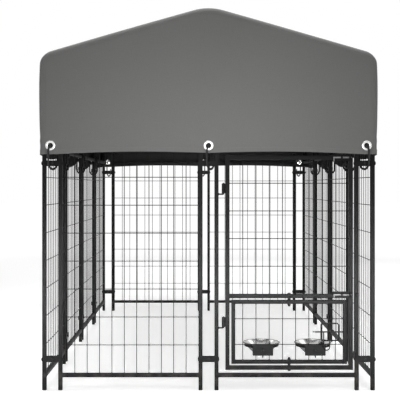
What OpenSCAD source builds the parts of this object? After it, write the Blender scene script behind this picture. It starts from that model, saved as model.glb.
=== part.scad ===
// Outdoor dog kennel run: welded mesh panels two wide and four deep, a swing door with
// a turning feeder for two bowls, and a fabric cover over a tube roof frame.
// Sizes are in millimetres. The origin is on the ground at the middle of the plan,
// +X points right, +Y to the back and +Z up. The door is at the front right.

/* [Panels] */
// Width of the square tube
tube_w = 16; // [14:0.5:20]
// Wall of the square and round tubes
tube_wall = 1.2; // [0.8:0.1:2]
// Panel width between leg centres
panel_w = 540; // [500:5:640]
// Panel height, feet and caps included
panel_h = 994; // [960:2:1100]
// Leg length beyond each rail
leg_stub = 50; // [40:1:70]
// Distance between the legs of neighbouring panels
pair_gap = 61.5; // [56:0.5:80]
// Gap left at a butt joint for its weld
weld_gap = 0.1; // [0.05:0.05:0.2]
// Thickness of the foot under a leg and of the cap on top
plug_t = 2; // [1:0.5:4]
// Depth of a foot or a cap inside its leg
plug_depth = 14; // [8:1:20]

/* [Mesh] */
// Diameter of the mesh wire
wire_d = 3; // [2:0.1:4]
// Depth that crossing wires sink into each other where they are welded
wire_sink = 0.4; // [0.2:0.1:0.6]
// Upright wires in a panel
panel_cols = 10; // [6:1:14]
// Level wires in a panel
panel_rows = 7; // [4:1:10]
// Upright wires in the door
door_cols = 8; // [6:2:10]
// Distance between the door's level wires, counted from the rail above the feeder
door_row_pitch = 106.6; // [90:0.2:125]

/* [Clamps] */
// Height of the clamp centre above the ground, and below the panel top
clamp_z = 120; // [100:1:180]
// Height of a clamp strap
clamp_h = 22; // [18:1:30]
// Thickness of a clamp strap
clamp_t = 2.5; // [1.5:0.5:4]
// Diameter of the clamp bolt
clamp_bolt_d = 6; // [5:0.5:8]
// Diameter of the clamp bolt's head
clamp_head_d = 11; // [10:0.5:14]
// Height of the clamp bolt's head
clamp_head_h = 3.5; // [2:0.5:4]
// Height of the clamp nut
clamp_nut_h = 5; // [4:0.5:8]

/* [Door] */
// Space between the panel leg and the hinge side of the door
hinge_gap = 26.25; // [22:0.25:34]
// Space between the latch side of the door and the panel leg
latch_gap = 6.65; // [4:0.05:10]
// Space under the door
sill_gap = 13; // [8:1:20]
// Space above the door
head_gap = 24; // [22:1:40]
// Underside of the rail above the feeder
mid_rail_z = 354.6; // [320:0.2:420]
// Diameter of the hinge pins
hinge_pin_d = 6; // [5:0.5:8]
// Outer diameter of the hinge sleeves
sleeve_d = 14; // [12:0.5:16]
// Length of a hinge sleeve
sleeve_l = 38; // [25:1:50]
// Height of the lower hinge arm
hinge_low_z = 240; // [140:5:320]
// Height of the upper hinge arm
hinge_high_z = 755; // [600:5:800]
// Radial clearance of pins and sliding rods
run_clear = 0.05; // [0.03:0.01:0.08]

/* [Door latches] */
// Length of a latch plate
latch_plate_l = 73; // [66:1:90]
// Height of a latch plate
latch_plate_h = 25; // [20:1:30]
// Thickness of a latch plate
latch_plate_t = 2; // [1.5:0.5:3]
// Space between a latch plate and the door's edge
latch_inset = 7; // [4:1:12]
// Diameter of a latch rod
latch_rod_d = 7; // [6:0.5:8]
// Wall of the latch guides and keepers
latch_wall = 1.5; // [1:0.25:2]
// Width of a latch guide
latch_guide_w = 8; // [6:1:10]
// Height of the lower latch rod above its rail's middle
latch_lift = 6; // [4:0.5:8]
// Travel of a latch rod
latch_travel = 22; // [18:1:24]

/* [Feeder] */
// Width of the feeder's square tube
feeder_tube_w = 15; // [13:0.5:18]
// Gap round the feeder
feeder_gap = 7; // [5:0.5:12]
// Distance between the feeder's level wires
feeder_row_pitch = 98.6; // [80:0.2:110]
// Distance of the feeder mesh behind the middle of its frame
feeder_mesh_back = 3.6; // [3:0.1:4]
// Diameter of the pivot bolts
pivot_d = 8; // [6:0.5:9]
// Diameter of the pivot spacers and bolt heads
pivot_head_d = 13; // [12:0.5:15]
// Height of the pivot bolt heads
pivot_head_h = 4.5; // [3:0.5:6]
// Height of the pivot nuts
pivot_nut_h = 8; // [6:0.5:12]
// Play on each side of a pivot spacer and under a pivot nut
pivot_play = 0.15; // [0.1:0.05:0.3]
// Height of the feeder latch rod above the feeder's lower rail
feeder_rod_up = 107.5; // [100:0.5:125]
// Distance of the feeder latch rod in front of the middle of the frame
feeder_rod_front = 2.5; // [2:0.1:3]
// Diameter of the feeder latch rod
feeder_rod_d = 5.4; // [4:0.1:5.6]
// Length of the feeder latch rod
feeder_rod_l = 131; // [125:1:150]
// Travel of the feeder latch rod
feeder_travel = 18; // [14:1:20]
// Play of the drop handle in its guide, beyond the rod's travel
guide_play = 16.5; // [10:0.5:20]
// Outer height of the feeder latch guide
guide_h = 70; // [56:1:76]
// Thickness of the guide's bar
guide_bar = 5; // [4:0.5:6]
// Distance of the guide from the feeder's edge
guide_inset = 30; // [26:1:36]
// Width of the drop handle between leg centres
handle_w = 23; // [18:1:26]
// Drop of the handle below the rod
handle_drop = 69; // [50:1:80]
// Diameter of the handle wire
handle_d = 4.5; // [3.5:0.5:5]

/* [Bowls] */
// Distance of a bowl's centre from the feeder pivot
bowl_x = 101; // [90:1:112]
// Distance of a bowl's centre behind the feeder mesh
bowl_reach = 80.6; // [80:0.2:95]
// Height of the bowl floor above the feeder's lower rail
bowl_up = 15; // [8:1:24]
// Depth of a bowl
bowl_h = 42; // [36:1:50]
// Radius of a bowl at its floor
bowl_floor_r = 34; // [28:1:40]
// Radius of a bowl at its rim
bowl_rim_r = 71.3; // [66:0.1:72]
// Sheet thickness of a bowl
bowl_t = 1.2; // [0.8:0.1:1.6]
// Radius of the rolled rim
bowl_bead_r = 2.5; // [2:0.1:3]
// Height of the holder ring above the bowl floor
ring_up = 28; // [24:1:30]
// Diameter of the holder ring's wire
ring_d = 6; // [4:0.5:7]
// Clearance between a bowl and its ring
ring_clear = 0.3; // [0.2:0.05:0.5]
// Width of a bowl's front plate
plate_w = 80; // [70:1:90]
// Height of a bowl's front plate
plate_h = 43; // [36:1:48]
// Thickness of the front plate and of the tab behind the mesh
plate_t = 2.5; // [1.5:0.5:3]
// Length of the peg under a front plate
peg_l = 8; // [4:1:10]
// Diameter of the bowl screws
screw_d = 5; // [4:0.5:6]

/* [Roof frame] */
// Height of the cover's ridge
ridge_h = 1472.5; // [1440:2.5:1600]
// Diameter of the roof tubes
roof_tube_d = 16; // [14:0.5:19]
// Slope of the roof beside the ridge, in degrees
ridge_pitch = 15.6; // [12:0.1:18]
// Radius of the rafters' bow
bow_r = 40000; // [5000:500:60000]
// Radius of the bend at the ridge
ridge_r = 200; // [120:5:240]
// Radius of the bend at the eaves
eave_r = 50; // [40:1:70]
// Length of the spigots at the roof joints
spigot_l = 28; // [20:1:40]
// Clearance round a spigot
spigot_clear = 0.2; // [0.1:0.05:0.3]
// Height of the eave poles below the top of the roof posts
eave_drop = 20; // [12:1:60]

/* [Cover] */
// Thickness of the cover
cover_t = 2; // [1:0.5:3]
// Space between the cover and the legs
cover_ease = 5.75; // [4:0.25:10]
// Space between the cover and the rafters
cover_rest = 0.5; // [0.3:0.1:1]
// Radius of the cover's bend at the eaves
cover_eave_r = 57; // [54:1:70]
// Height of the panels' tops above the hem at its hooks
hem_drop = 86; // [74:1:92]
// Rise of the front and back hems at their middle
hem_rise = 6.5; // [0:0.5:8]
// Further rise of the front and back hems between hooks
hem_arch = 6; // [0:1:12]
// Sag of the side hems between hooks
hem_sag = 30; // [0:1:40]
// Sag of the side hems in the bays next to the corners
hem_end_sag = 10; // [0:1:40]
// Straight pieces in a bay of the hem's curve
hem_steps = 10; // [6:2:16]
// Height of the eyelets above the hem
eyelet_up = 34; // [28:1:44]
// Outer radius of an eyelet
eyelet_r = 19; // [16:0.5:22]
// Radius of an eyelet's hole
eyelet_hole_r = 9; // [8:0.5:12]
// Thickness of an eyelet's flange and of its barrel
eyelet_t = 1.5; // [1:0.1:2]
// Diameter of the hook wire
hook_d = 6; // [4:0.5:6.5]
// Turn of a hook about the upright, in degrees
hook_turn = 32; // [20:1:34]
// Room between a hook's rear leg and its clamp's inner strap
hook_room = 5.25; // [4:0.25:5.25]
// Distance of the corner eyelets beyond their clamps
eyelet_shift = 6; // [0:1:8]

/* [Hidden] */
$fn = 48;
panels_deep = 4;
charcoal = "#3b3b3d";
steel = "#b9bcc0";
zinc = "#8f9296";
cloth = "#757577";
black = "#1d1d1f";

// Plan
side_x = panel_w + 1.5 * pair_gap;
front_y = 2 * panel_w + 1.5 * pair_gap;
bay = panel_w + pair_gap;
// How far a cut runs past a face, and how far two bodies of one piece run into each other
cut = 1;
sink = 0.5;
// Length of thread past a nut, and a nut's width over corners in thread sizes
bolt_end = 2;
nut_ratio = 1.9;
// Wall left at the top of a cone nut
nut_lip = 1;
clear_w = panel_w - tube_w;
clear_h = panel_h - 2 * leg_stub - 2 * tube_w;
wire_off = (wire_d - wire_sink) / 2;
leg_top = panel_h - plug_t;
bore_w = tube_w - 2 * tube_wall;

// Places of the plain panels: name, middle of the panel on the ground, turn
PLAIN_PANELS = concat(
    [["front_left_panel", -bay / 2, -front_y, 0],
     ["back_left_panel", -bay / 2, front_y, 180],
     ["back_right_panel", bay / 2, front_y, 180]],
    [for (i = [1 : panels_deep])
        [str("left_panel_", i), -side_x, (i - (panels_deep + 1) / 2) * bay, -90]],
    [for (i = [1 : panels_deep])
        [str("right_panel_", i), side_x, (i - (panels_deep + 1) / 2) * bay, 90]]);
DOOR_PANEL = ["door_panel", bay / 2, -front_y, 0];
ALL_PANELS = concat(PLAIN_PANELS, [DOOR_PANEL]);

// Places where two panels meet: middle of the pair on the ground, turn
STATIONS = concat(
    [for (x = [-bay, 0, bay]) [x, -front_y, 0]],
    [for (x = [-bay, 0, bay]) [x, front_y, 180]],
    [for (y = [-bay, 0, bay]) [-side_x, y, -90]],
    [for (y = [-bay, 0, bay]) [side_x, y, 90]]);
CLAMP_Z = [clamp_z, panel_h - clamp_z];

// Rows of legs that carry the roof
ROOF_Y = [-front_y, -pair_gap / 2, front_y];

// Door, with y measured from the front legs
door_left = (pair_gap + tube_w) / 2 + hinge_gap;
door_right = pair_gap / 2 + panel_w - tube_w / 2 - latch_gap;
door_low = leg_stub + tube_w + sill_gap;
door_top = panel_h - leg_stub - tube_w - head_gap;
door_mid_x = (door_left + door_right) / 2;
door_clear_w = door_right - door_left - 2 * tube_w;
door_pitch = door_clear_w / (door_cols + 1);
upper_low = mid_rail_z + tube_w;
upper_h = door_top - tube_w - upper_low;
DOOR_ROWS = [for (i = [1 : floor((upper_h - wire_d) / door_row_pitch)]) i * door_row_pitch - upper_h / 2];
hinge_x = door_left - sleeve_d / 2 - weld_gap;
hinge_play = 0.3;

// Door latches
latch_rod_y = tube_w / 2 + latch_plate_t + latch_wall + latch_rod_d / 2;
latch_front = latch_rod_y + latch_rod_d / 2 + latch_wall;
latch_plate_x = door_right - latch_inset - latch_plate_l;
latch_proud = 1;
lever_reach = 12;
lever_d = latch_rod_d - 2;
lever_play = 1;
guide_end = 3;
guide_lip = 1.5;
latch_tip = door_right - latch_inset + latch_proud;
latch_rod_l = latch_plate_l - 2 * latch_proud;
latch_lever_l = latch_rod_d / 2 + lever_reach;
latch_guide_h = latch_rod_d + 2 * (latch_wall + guide_lip);
latch_low_z = mid_rail_z + tube_w / 2 + latch_lift;
latch_high_z = door_top - tube_w / 2;
latch_end = latch_tip - latch_rod_l;
guide_left_x = latch_end + lever_d + latch_travel + lever_play + latch_guide_w / 2;
guide_right_x = latch_tip - guide_end - latch_guide_w / 2;
keeper_x = pair_gap / 2 + panel_w;
keeper_clear = 0.4;
keeper_w = tube_w - 4;

// Feeder, with y measured from the front legs
feeder_low = door_low + tube_w + feeder_gap;
feeder_top = mid_rail_z - feeder_gap;
feeder_w = door_clear_w - 2 * feeder_gap;
feeder_right = door_mid_x + feeder_w / 2;
feeder_in_w = feeder_w - 2 * feeder_tube_w;
feeder_in_low = feeder_low + feeder_tube_w;
feeder_in_h = feeder_top - feeder_low - 2 * feeder_tube_w;
feeder_mid_z = (feeder_low + feeder_top) / 2;
mesh_front = feeder_mesh_back - wire_off - wire_d / 2;
mesh_rear = feeder_mesh_back + wire_off + wire_d / 2;
pivot_l = tube_w + feeder_gap + feeder_tube_w + pivot_play + pivot_nut_h + bolt_end;
rod_z = feeder_in_low + feeder_rod_up;
rod_bore = feeder_rod_d + 2 * run_clear;
guide_w = 2 * guide_bar + handle_w + handle_d + feeder_travel + guide_play;
guide_mid_x = feeder_right - guide_inset - guide_w / 2;
guide_wall = 3;
handle_gap = 1;
guide_front = -feeder_rod_front - feeder_rod_d / 2 - guide_wall;
guide_depth = mesh_front - weld_gap - guide_front;
handle_x = guide_mid_x - guide_w / 2 + guide_bar + handle_d / 2 + guide_play / 4;
handle_y = guide_front - handle_d / 2 - handle_gap;

// Bowls and their holders
bowl_z = feeder_in_low + bowl_up;
bowl_y = feeder_mesh_back + bowl_reach;
bowl_slope = (bowl_rim_r - bowl_floor_r) / (bowl_h - bowl_bead_r);
ring_r = bowl_floor_r + bowl_slope * ring_up
    + (ring_d / 2 + ring_clear) * sqrt(1 + bowl_slope * bowl_slope);
ring_z = bowl_z + ring_up;
plate_z = feeder_mid_z - feeder_row_pitch / 2 - plate_h;
screw_drop = 2;
screw_z = plate_z + plate_h / 2 - screw_drop;
tab_w = 36;
lug_w = 20;
tab_y = mesh_rear + weld_gap;

// Roof frame in the plane of a hoop: centres of the bends, and the slopes where they meet
roof_r = roof_tube_d / 2;
ridge_mid_z = ridge_h - cover_t - cover_rest - roof_r;
ridge_c = [0, ridge_mid_z - ridge_r];
bow_c = ridge_c - (bow_r - ridge_r) * [sin(ridge_pitch), cos(ridge_pitch)];
eave_pitch = asin((side_x - eave_r - bow_c[0]) / (bow_r - eave_r));
eave_c = bow_c + (bow_r - eave_r) * [sin(eave_pitch), cos(eave_pitch)];
post_top = eave_c[1];
roof_bore = roof_tube_d - 2 * tube_wall;
spigot_d = roof_bore - 2 * spigot_clear;
leg_spigot_d = bore_w - 2 * spigot_clear;
leg_spigot_l = 45;
post_floor = 3;

// Cover
cover_off = roof_r + cover_rest + cover_t;
cover_x = side_x + tube_w / 2 + cover_ease + cover_t;
cover_y = front_y + tube_w / 2 + cover_ease + cover_t;
hem_z = panel_h - hem_drop;
cover_low = hem_z - hem_sag - cut;
trim_l = 10;
eyelet_z = hem_z + eyelet_up;
barrel_r = eyelet_hole_r + eyelet_t;
barrel_clear = 0.1;

// Places of the eyelets: as the stations, but nearer the corners at the front and the back.
// The last value leans a hook to one side, at the corners away from them.
EYES = [for (s = STATIONS)
    let (end = abs(s[1]) == front_y ? sign(s[0]) : 0)
    [s[0] + end * eyelet_shift, s[1], s[2], end == 0 ? 1 : -end * cos(s[2])]];

// A hook is a bent wire in an upright plane, which u and z measure from the eyelet's middle.
// It goes through the eyelet's hole and under both straps of the clamp.
eyelet_y = tube_w / 2 + cover_ease + cover_t / 2;
eyelet_face = cover_t / 2 + eyelet_t;
strap_face = tube_w / 2 + clamp_t;
hook_front_gap = 3.5;
hook_seat = 1.6;
hook_strap_seat = 0.7;
hook_rear = (eyelet_y + strap_face + hook_room + hook_d / 2) / cos(hook_turn);
hook_front = -(eyelet_face + hook_front_gap + hook_d / 2) / cos(hook_turn);
hook_r = round((hook_rear - hook_front) * 50) / 100;
hook_mid_u = round((hook_rear + hook_front) * 50) / 100;
hook_rear_u = hook_mid_u + hook_r;
hook_front_u = hook_mid_u - hook_r;
hook_in_r = hook_r - hook_d / 2;
eye_rise = sqrt(hook_in_r ^ 2 - (hook_mid_u + eyelet_face / cos(hook_turn)) ^ 2);
strap_u = (eyelet_y + strap_face) / cos(hook_turn) - hook_mid_u;
strap_rise = sqrt((hook_in_r - hook_strap_seat) ^ 2 - strap_u ^ 2);
hook_top_z = round((eyelet_z - eyelet_hole_r + hook_seat - eye_rise) * 100) / 100;
hook_low_z = round((panel_h - clamp_z - clamp_h / 2 + strap_rise) * 100) / 100;
hook_tail = 12;
hook_return = 6;

// Positions of n wires spread evenly across a span, from its middle
function spread(n, span) = [for (i = [1 : n]) (i / (n + 1) - 0.5) * span];

// Points on an arc
function arc(c, r, from, to, n) =
    [for (i = [0 : n]) c + r * [cos(from + (to - from) * i / n), sin(from + (to - from) * i / n)]];

// Moves a panel or a joint's pieces to their place
module at(place) {
    translate([place[0], place[1], 0]) rotate(place[2]) children();
}

// Square tube along Z
module square_tube(w, length) {
    difference() {
        translate([-w / 2, -w / 2, 0]) cube([w, w, length]);
        translate([tube_wall - w / 2, tube_wall - w / 2, -cut])
            cube([w - 2 * tube_wall, w - 2 * tube_wall, length + 2 * cut]);
    }
}

// Square tube along X, about its middle
module square_rail(w, length) {
    translate([-length / 2, 0, 0]) rotate([0, 90, 0]) square_tube(w, length);
}

// Welded grid of round wires in a clear opening, with xs and zs from its middle
module wire_grid(w, h, xs, zs) {
    for (x = xs)
        translate([x, -wire_off, weld_gap - h / 2]) cylinder(d = wire_d, h = h - 2 * weld_gap);
    for (z = zs)
        translate([weld_gap - w / 2, wire_off, z])
            rotate([0, 90, 0]) cylinder(d = wire_d, h = w - 2 * weld_gap);
}

// Round bar along X
module bar_x(d, length) {
    rotate([0, 90, 0]) cylinder(d = d, h = length);
}

// Round bar along Y, away from the front
module bar_y(d, length) {
    rotate([-90, 0, 0]) cylinder(d = d, h = length);
}

module panel_frame() {
    color(charcoal) {
        for (s = [-1, 1])
            translate([s * panel_w / 2, 0, plug_t]) square_tube(tube_w, leg_top - plug_t);
        for (z = [leg_stub, panel_h - leg_stub - tube_w])
            translate([0, 0, z + tube_w / 2]) square_rail(tube_w, clear_w - 2 * weld_gap);
    }
}

module panel_mesh() {
    color(charcoal)
        translate([0, 0, panel_h / 2])
            wire_grid(clear_w, clear_h, spread(panel_cols, clear_w), spread(panel_rows, clear_h));
}

// Square plug with a flange, for either end of a leg
module leg_plug() {
    plug_w = bore_w - 2 * spigot_clear;
    translate([-tube_w / 2, -tube_w / 2, 0]) cube([tube_w, tube_w, plug_t]);
    translate([-plug_w / 2, -plug_w / 2, 0]) cube([plug_w, plug_w, plug_t + plug_depth]);
}

// Is there a roof post on the leg at this place?
function has_post(p) =
    abs(abs(p[0]) - side_x) < 1 && len([for (y = ROOF_Y) if (abs(y - p[1]) < 1) y]) > 0;

// Places of a panel's two legs
function legs(p) = [for (s = [-1, 1])
    [p[1] + s * panel_w / 2 * cos(p[3]), p[2] + s * panel_w / 2 * sin(p[3])]];

module leg_feet() {
    color(black)
        for (p = ALL_PANELS, l = legs(p)) translate([l[0], l[1], 0]) leg_plug();
}

module leg_caps() {
    color(black)
        for (p = ALL_PANELS, l = legs(p))
            if (!has_post(l)) translate([l[0], l[1], panel_h]) mirror([0, 0, 1]) leg_plug();
}

// Places every clamp, with its middle at the origin and the outside towards -Y
module each_clamp() {
    for (s = STATIONS, z = CLAMP_Z) at(s) translate([0, 0, z]) children();
}

// Flat strap with round ends and a bolt hole, on the outer faces of two legs
module clamp_strap() {
    translate([0, -tube_w / 2, 0]) rotate([90, 0, 0])
        linear_extrude(clamp_t) difference() {
            union() {
                square([pair_gap, clamp_h], center = true);
                for (s = [-1, 1]) translate([s * pair_gap / 2, 0]) circle(d = clamp_h);
            }
            circle(d = clamp_bolt_d + 2 * spigot_clear);
        }
}

module clamp_outer_straps() {
    color(charcoal) each_clamp() clamp_strap();
}

module clamp_inner_straps() {
    color(charcoal) each_clamp() mirror([0, 1, 0]) clamp_strap();
}

module clamp_bolts() {
    grip = tube_w + 2 * clamp_t;
    color(zinc) each_clamp() {
        translate([0, -grip / 2 - clamp_head_h, 0]) bar_y(clamp_head_d, clamp_head_h);
        translate([0, -grip / 2 - sink, 0])
            bar_y(clamp_bolt_d, sink + grip + clamp_nut_h + bolt_end);
    }
}

module clamp_nuts() {
    color(zinc) each_clamp()
        translate([0, tube_w / 2 + clamp_t, 0]) rotate([-90, 0, 0]) difference() {
            cylinder(d = clamp_bolt_d * nut_ratio, h = clamp_nut_h, $fn = 6);
            translate([0, 0, -cut])
                cylinder(d = clamp_bolt_d + 2 * run_clear, h = clamp_nut_h + 2 * cut);
        }
}

// Puts the door's pieces in the plane of the front legs
module in_front() {
    translate([0, -front_y, 0]) children();
}

module door_frame() {
    color(charcoal) in_front() {
        // The feeder's rod enters the right stile, or the left one once the feeder is turned round
        for (turn = [0, 180]) translate([door_mid_x, 0, 0]) rotate(turn) difference() {
            translate([(door_clear_w + tube_w) / 2, 0, door_low])
                square_tube(tube_w, door_top - door_low);
            translate([door_clear_w / 2 - cut, -feeder_rod_front, rod_z])
                bar_x(feeder_rod_d + 2 * keeper_clear, tube_wall + 2 * cut);
        }
        for (z = [door_low, mid_rail_z, door_top - tube_w])
            difference() {
                translate([door_mid_x, 0, z + tube_w / 2])
                    square_rail(tube_w, door_clear_w - 2 * weld_gap);
                if (z < upper_low)
                    translate([door_mid_x, 0, z - cut])
                        cylinder(d = pivot_d + 2 * run_clear, h = tube_w + 2 * cut);
            }
    }
}

module door_mesh() {
    color(charcoal) in_front()
        translate([door_mid_x, 0, upper_low + upper_h / 2])
            wire_grid(door_clear_w, upper_h,
                spread(door_cols, door_clear_w), DOOR_ROWS);
}

module hinge_sleeves() {
    color(charcoal) in_front()
        for (z = [hinge_low_z, hinge_high_z])
            translate([hinge_x, 0, z + hinge_pin_d / 2 + hinge_play]) difference() {
                cylinder(d = sleeve_d, h = sleeve_l);
                translate([0, 0, -cut])
                    cylinder(d = hinge_pin_d + 2 * run_clear, h = sleeve_l + 2 * cut);
            }
}

// Pins with a level arm on the panel leg, turned up into the sleeves
module hinge_pins() {
    arm_x = (pair_gap + tube_w) / 2 + weld_gap;
    color(charcoal) in_front()
        for (z = [hinge_low_z, hinge_high_z]) {
            translate([arm_x, 0, z]) bar_x(hinge_pin_d, hinge_x - arm_x);
            translate([hinge_x, 0, z]) sphere(d = hinge_pin_d);
            translate([hinge_x, 0, z]) cylinder(d = hinge_pin_d, h = sleeve_l + hinge_pin_d);
        }
}

// Block that a latch rod slides through, on a face at base_y in front of the legs
module rod_loop(base_y, w, bore) {
    difference() {
        translate([-w / 2, -latch_front, -latch_guide_h / 2])
            cube([w, latch_front - base_y, latch_guide_h]);
        translate([-w / 2 - cut, -latch_rod_y, 0]) bar_x(bore, w + 2 * cut);
    }
}

// Plate with two guides; the lever moves between them
module latch_plate(z) {
    color(charcoal) in_front() translate([0, 0, z]) {
        translate([latch_plate_x, -tube_w / 2 - latch_plate_t, -latch_plate_h / 2])
            cube([latch_plate_l, latch_plate_t, latch_plate_h]);
        for (x = [guide_left_x, guide_right_x])
            translate([x, 0, 0])
                rod_loop(tube_w / 2 + latch_plate_t, latch_guide_w, latch_rod_d + 2 * run_clear);
    }
}

// Drawn-back rod with a short lever that hangs down at its end
module latch_bolt(z) {
    color(zinc) in_front() translate([0, -latch_rod_y, z]) {
        translate([latch_end, 0, 0]) bar_x(latch_rod_d, latch_rod_l);
        translate([latch_end + lever_d / 2, 0, -latch_lever_l]) cylinder(d = lever_d, h = latch_lever_l);
    }
}

module latch_keepers() {
    color(charcoal) in_front()
        for (z = [latch_low_z, latch_high_z])
            translate([keeper_x, 0, z])
                rod_loop(tube_w / 2, keeper_w, latch_rod_d + 2 * keeper_clear);
}

module feeder_frame() {
    stile_x = (feeder_w - feeder_tube_w) / 2;
    color(charcoal) in_front() translate([door_mid_x, 0, 0]) {
        translate([-stile_x, 0, feeder_low])
            square_tube(feeder_tube_w, feeder_top - feeder_low);
        difference() {
            translate([stile_x, 0, feeder_low])
                square_tube(feeder_tube_w, feeder_top - feeder_low);
            translate([stile_x - feeder_tube_w, -feeder_rod_front, rod_z])
                bar_x(rod_bore, 2 * feeder_tube_w);
        }
        for (z = [feeder_low, feeder_top - feeder_tube_w])
            difference() {
                translate([0, 0, z + feeder_tube_w / 2])
                    square_rail(feeder_tube_w, feeder_in_w - 2 * weld_gap);
                translate([0, 0, z - cut])
                    cylinder(d = pivot_d + 2 * run_clear, h = feeder_tube_w + 2 * cut);
            }
    }
}

module feeder_mesh() {
    cols = [for (i = [1 : door_cols]) (i - (door_cols + 1) / 2) * door_pitch];
    color(charcoal) in_front()
        translate([door_mid_x, feeder_mesh_back, feeder_mid_z])
            wire_grid(feeder_in_w, feeder_in_h, cols, [-1, 1] * feeder_row_pitch / 2);
}

// Places a piece for the lower pivot, and turns one over for the upper pivot
module each_pivot() {
    in_front() {
        translate([door_mid_x, 0, door_low]) children();
        translate([door_mid_x, 0, mid_rail_z + tube_w]) rotate([180, 0, 0]) children();
    }
}

module pivot_bolts() {
    color(zinc) each_pivot() {
        translate([0, 0, -pivot_head_h]) cylinder(d = pivot_head_d, h = pivot_head_h);
        translate([0, 0, -sink]) cylinder(d = pivot_d, h = pivot_l + sink);
    }
}

module pivot_spacers() {
    color(zinc) each_pivot()
        translate([0, 0, tube_w + pivot_play]) difference() {
            cylinder(d = pivot_head_d, h = feeder_gap - 2 * pivot_play);
            translate([0, 0, -cut]) cylinder(d = pivot_d + 2 * run_clear, h = feeder_gap + 2 * cut);
        }
}

module pivot_nuts() {
    color(zinc) each_pivot()
        translate([0, 0, tube_w + feeder_gap + feeder_tube_w + pivot_play]) difference() {
            cylinder(d1 = pivot_head_d, d2 = pivot_d + 2 * nut_lip, h = pivot_nut_h);
            translate([0, 0, -cut]) cylinder(d = pivot_d + 2 * run_clear, h = pivot_nut_h + 2 * cut);
        }
}

// Upright frame of flat bar on the feeder mesh; the rod slides through its sides
module feeder_latch_guide() {
    color(charcoal) in_front() translate([guide_mid_x, guide_front, rod_z]) difference() {
        translate([-guide_w / 2, 0, -guide_h / 2]) cube([guide_w, guide_depth, guide_h]);
        translate([guide_bar - guide_w / 2, -cut, guide_bar - guide_h / 2])
            cube([guide_w - 2 * guide_bar, guide_depth + 2 * cut, guide_h - 2 * guide_bar]);
        translate([-guide_w / 2 - cut, -feeder_rod_front - guide_front, 0])
            bar_x(rod_bore, guide_w + 2 * cut);
    }
}

// Drawn-back rod with a bent drop handle
module feeder_latch_bolt() {
    bend_r = handle_w / 2;
    leg_l = handle_drop - bend_r;
    rod_x = feeder_right - latch_proud - feeder_rod_l;
    color(zinc) in_front() {
        translate([rod_x, -feeder_rod_front, rod_z]) bar_x(feeder_rod_d, feeder_rod_l);
        for (s = [0, 1]) translate([handle_x + s * handle_w, handle_y, rod_z]) {
            bar_y(handle_d, -feeder_rod_front - handle_y);
            sphere(d = handle_d);
            translate([0, 0, -leg_l]) cylinder(d = handle_d, h = leg_l);
        }
        translate([handle_x + bend_r, handle_y, rod_z - leg_l]) rotate([90, 0, 0]) rotate(180)
            rotate_extrude(angle = 180) translate([bend_r, 0]) circle(d = handle_d);
    }
}

// Places a bowl's pieces, with the origin on the pivot's side of the front legs
module at_bowl(side) {
    in_front() translate([door_mid_x + side * bowl_x, 0, 0]) children();
}

// Sheet-steel bowl with sloping sides and a rolled rim
module bowl(side) {
    color(steel) at_bowl(side) translate([0, bowl_y, bowl_z]) rotate_extrude() {
        polygon([[0, 0], [bowl_floor_r, 0], [bowl_rim_r, bowl_h - bowl_bead_r],
            [bowl_rim_r - bowl_t, bowl_h - bowl_bead_r], [bowl_floor_r - bowl_t, bowl_t],
            [0, bowl_t]]);
        translate([bowl_rim_r, bowl_h - bowl_bead_r]) circle(r = bowl_bead_r);
    }
}

// Ring under a bowl's rim, on a tab behind the feeder mesh
module bowl_holders() {
    color(charcoal) for (side = [-1, 1]) at_bowl(side) {
        translate([0, bowl_y, ring_z]) rotate_extrude() translate([ring_r, 0]) circle(d = ring_d);
        translate([-lug_w / 2, tab_y, ring_z - ring_d / 2 + sink])
            cube([lug_w, bowl_y - ring_r - tab_y, ring_d - 2 * sink]);
        difference() {
            translate([-tab_w / 2, tab_y, plate_z + plate_t])
                cube([tab_w, plate_t, ring_z + ring_d / 2 - plate_z - plate_t]);
            translate([0, tab_y - cut, screw_z])
                bar_y(screw_d + 2 * spigot_clear, plate_t + 2 * cut);
        }
    }
}

// Plate on the front of the feeder mesh, with a peg under it
module bowl_plates() {
    plate_y = mesh_front - weld_gap - plate_t;
    color(charcoal) for (side = [-1, 1]) at_bowl(side) {
        difference() {
            translate([-plate_w / 2, plate_y, plate_z]) cube([plate_w, plate_t, plate_h]);
            translate([0, plate_y - cut, screw_z])
                bar_y(screw_d + 2 * spigot_clear, plate_t + 2 * cut);
        }
        translate([-plate_t, plate_y, plate_z - peg_l])
            cube([2 * plate_t, plate_t, peg_l]);
    }
}

// Screws through a plate and its tab, each with a nut behind
module bowl_screws() {
    head_h = 0.6 * screw_d;
    nut_h = 0.8 * screw_d;
    head_y = mesh_front - weld_gap - plate_t - head_h;
    nut_y = tab_y + plate_t;
    color(zinc) for (side = [-1, 1]) at_bowl(side) translate([0, 0, screw_z]) {
        translate([0, head_y, 0]) bar_y(2 * screw_d, head_h);
        translate([0, head_y, 0]) bar_y(screw_d, nut_y + nut_h + bolt_end - head_y);
        translate([0, nut_y, 0]) rotate([-90, 0, 0]) cylinder(d = nut_ratio * screw_d, h = nut_h, $fn = 6);
    }
}

// Right and left halves of every hoop
module each_half_hoop() {
    for (y = ROOF_Y, s = [0, 1]) translate([0, y, 0]) mirror([s, 0, 0]) children();
}

// Bent round bar in the plane of a hoop
module bend(c, r, from, to, d, bore) {
    translate([c[0], 0, c[1]]) rotate([90, 0, 0]) rotate(from)
        rotate_extrude(angle = to - from) translate([r, 0]) difference() {
            circle(d = d);
            if (bore > 0) circle(d = bore);
        }
}

// Spigot at the end of a bend: along the curve at this angle, up or down the roof
module spigot(c, r, angle, up) {
    translate([c[0] + r * cos(angle), 0, c[1] + r * sin(angle)])
        rotate([0, (up ? 0 : 180) - angle, 0])
            translate([0, 0, -cut]) cylinder(d = spigot_d, h = spigot_l + cut);
}

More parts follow.
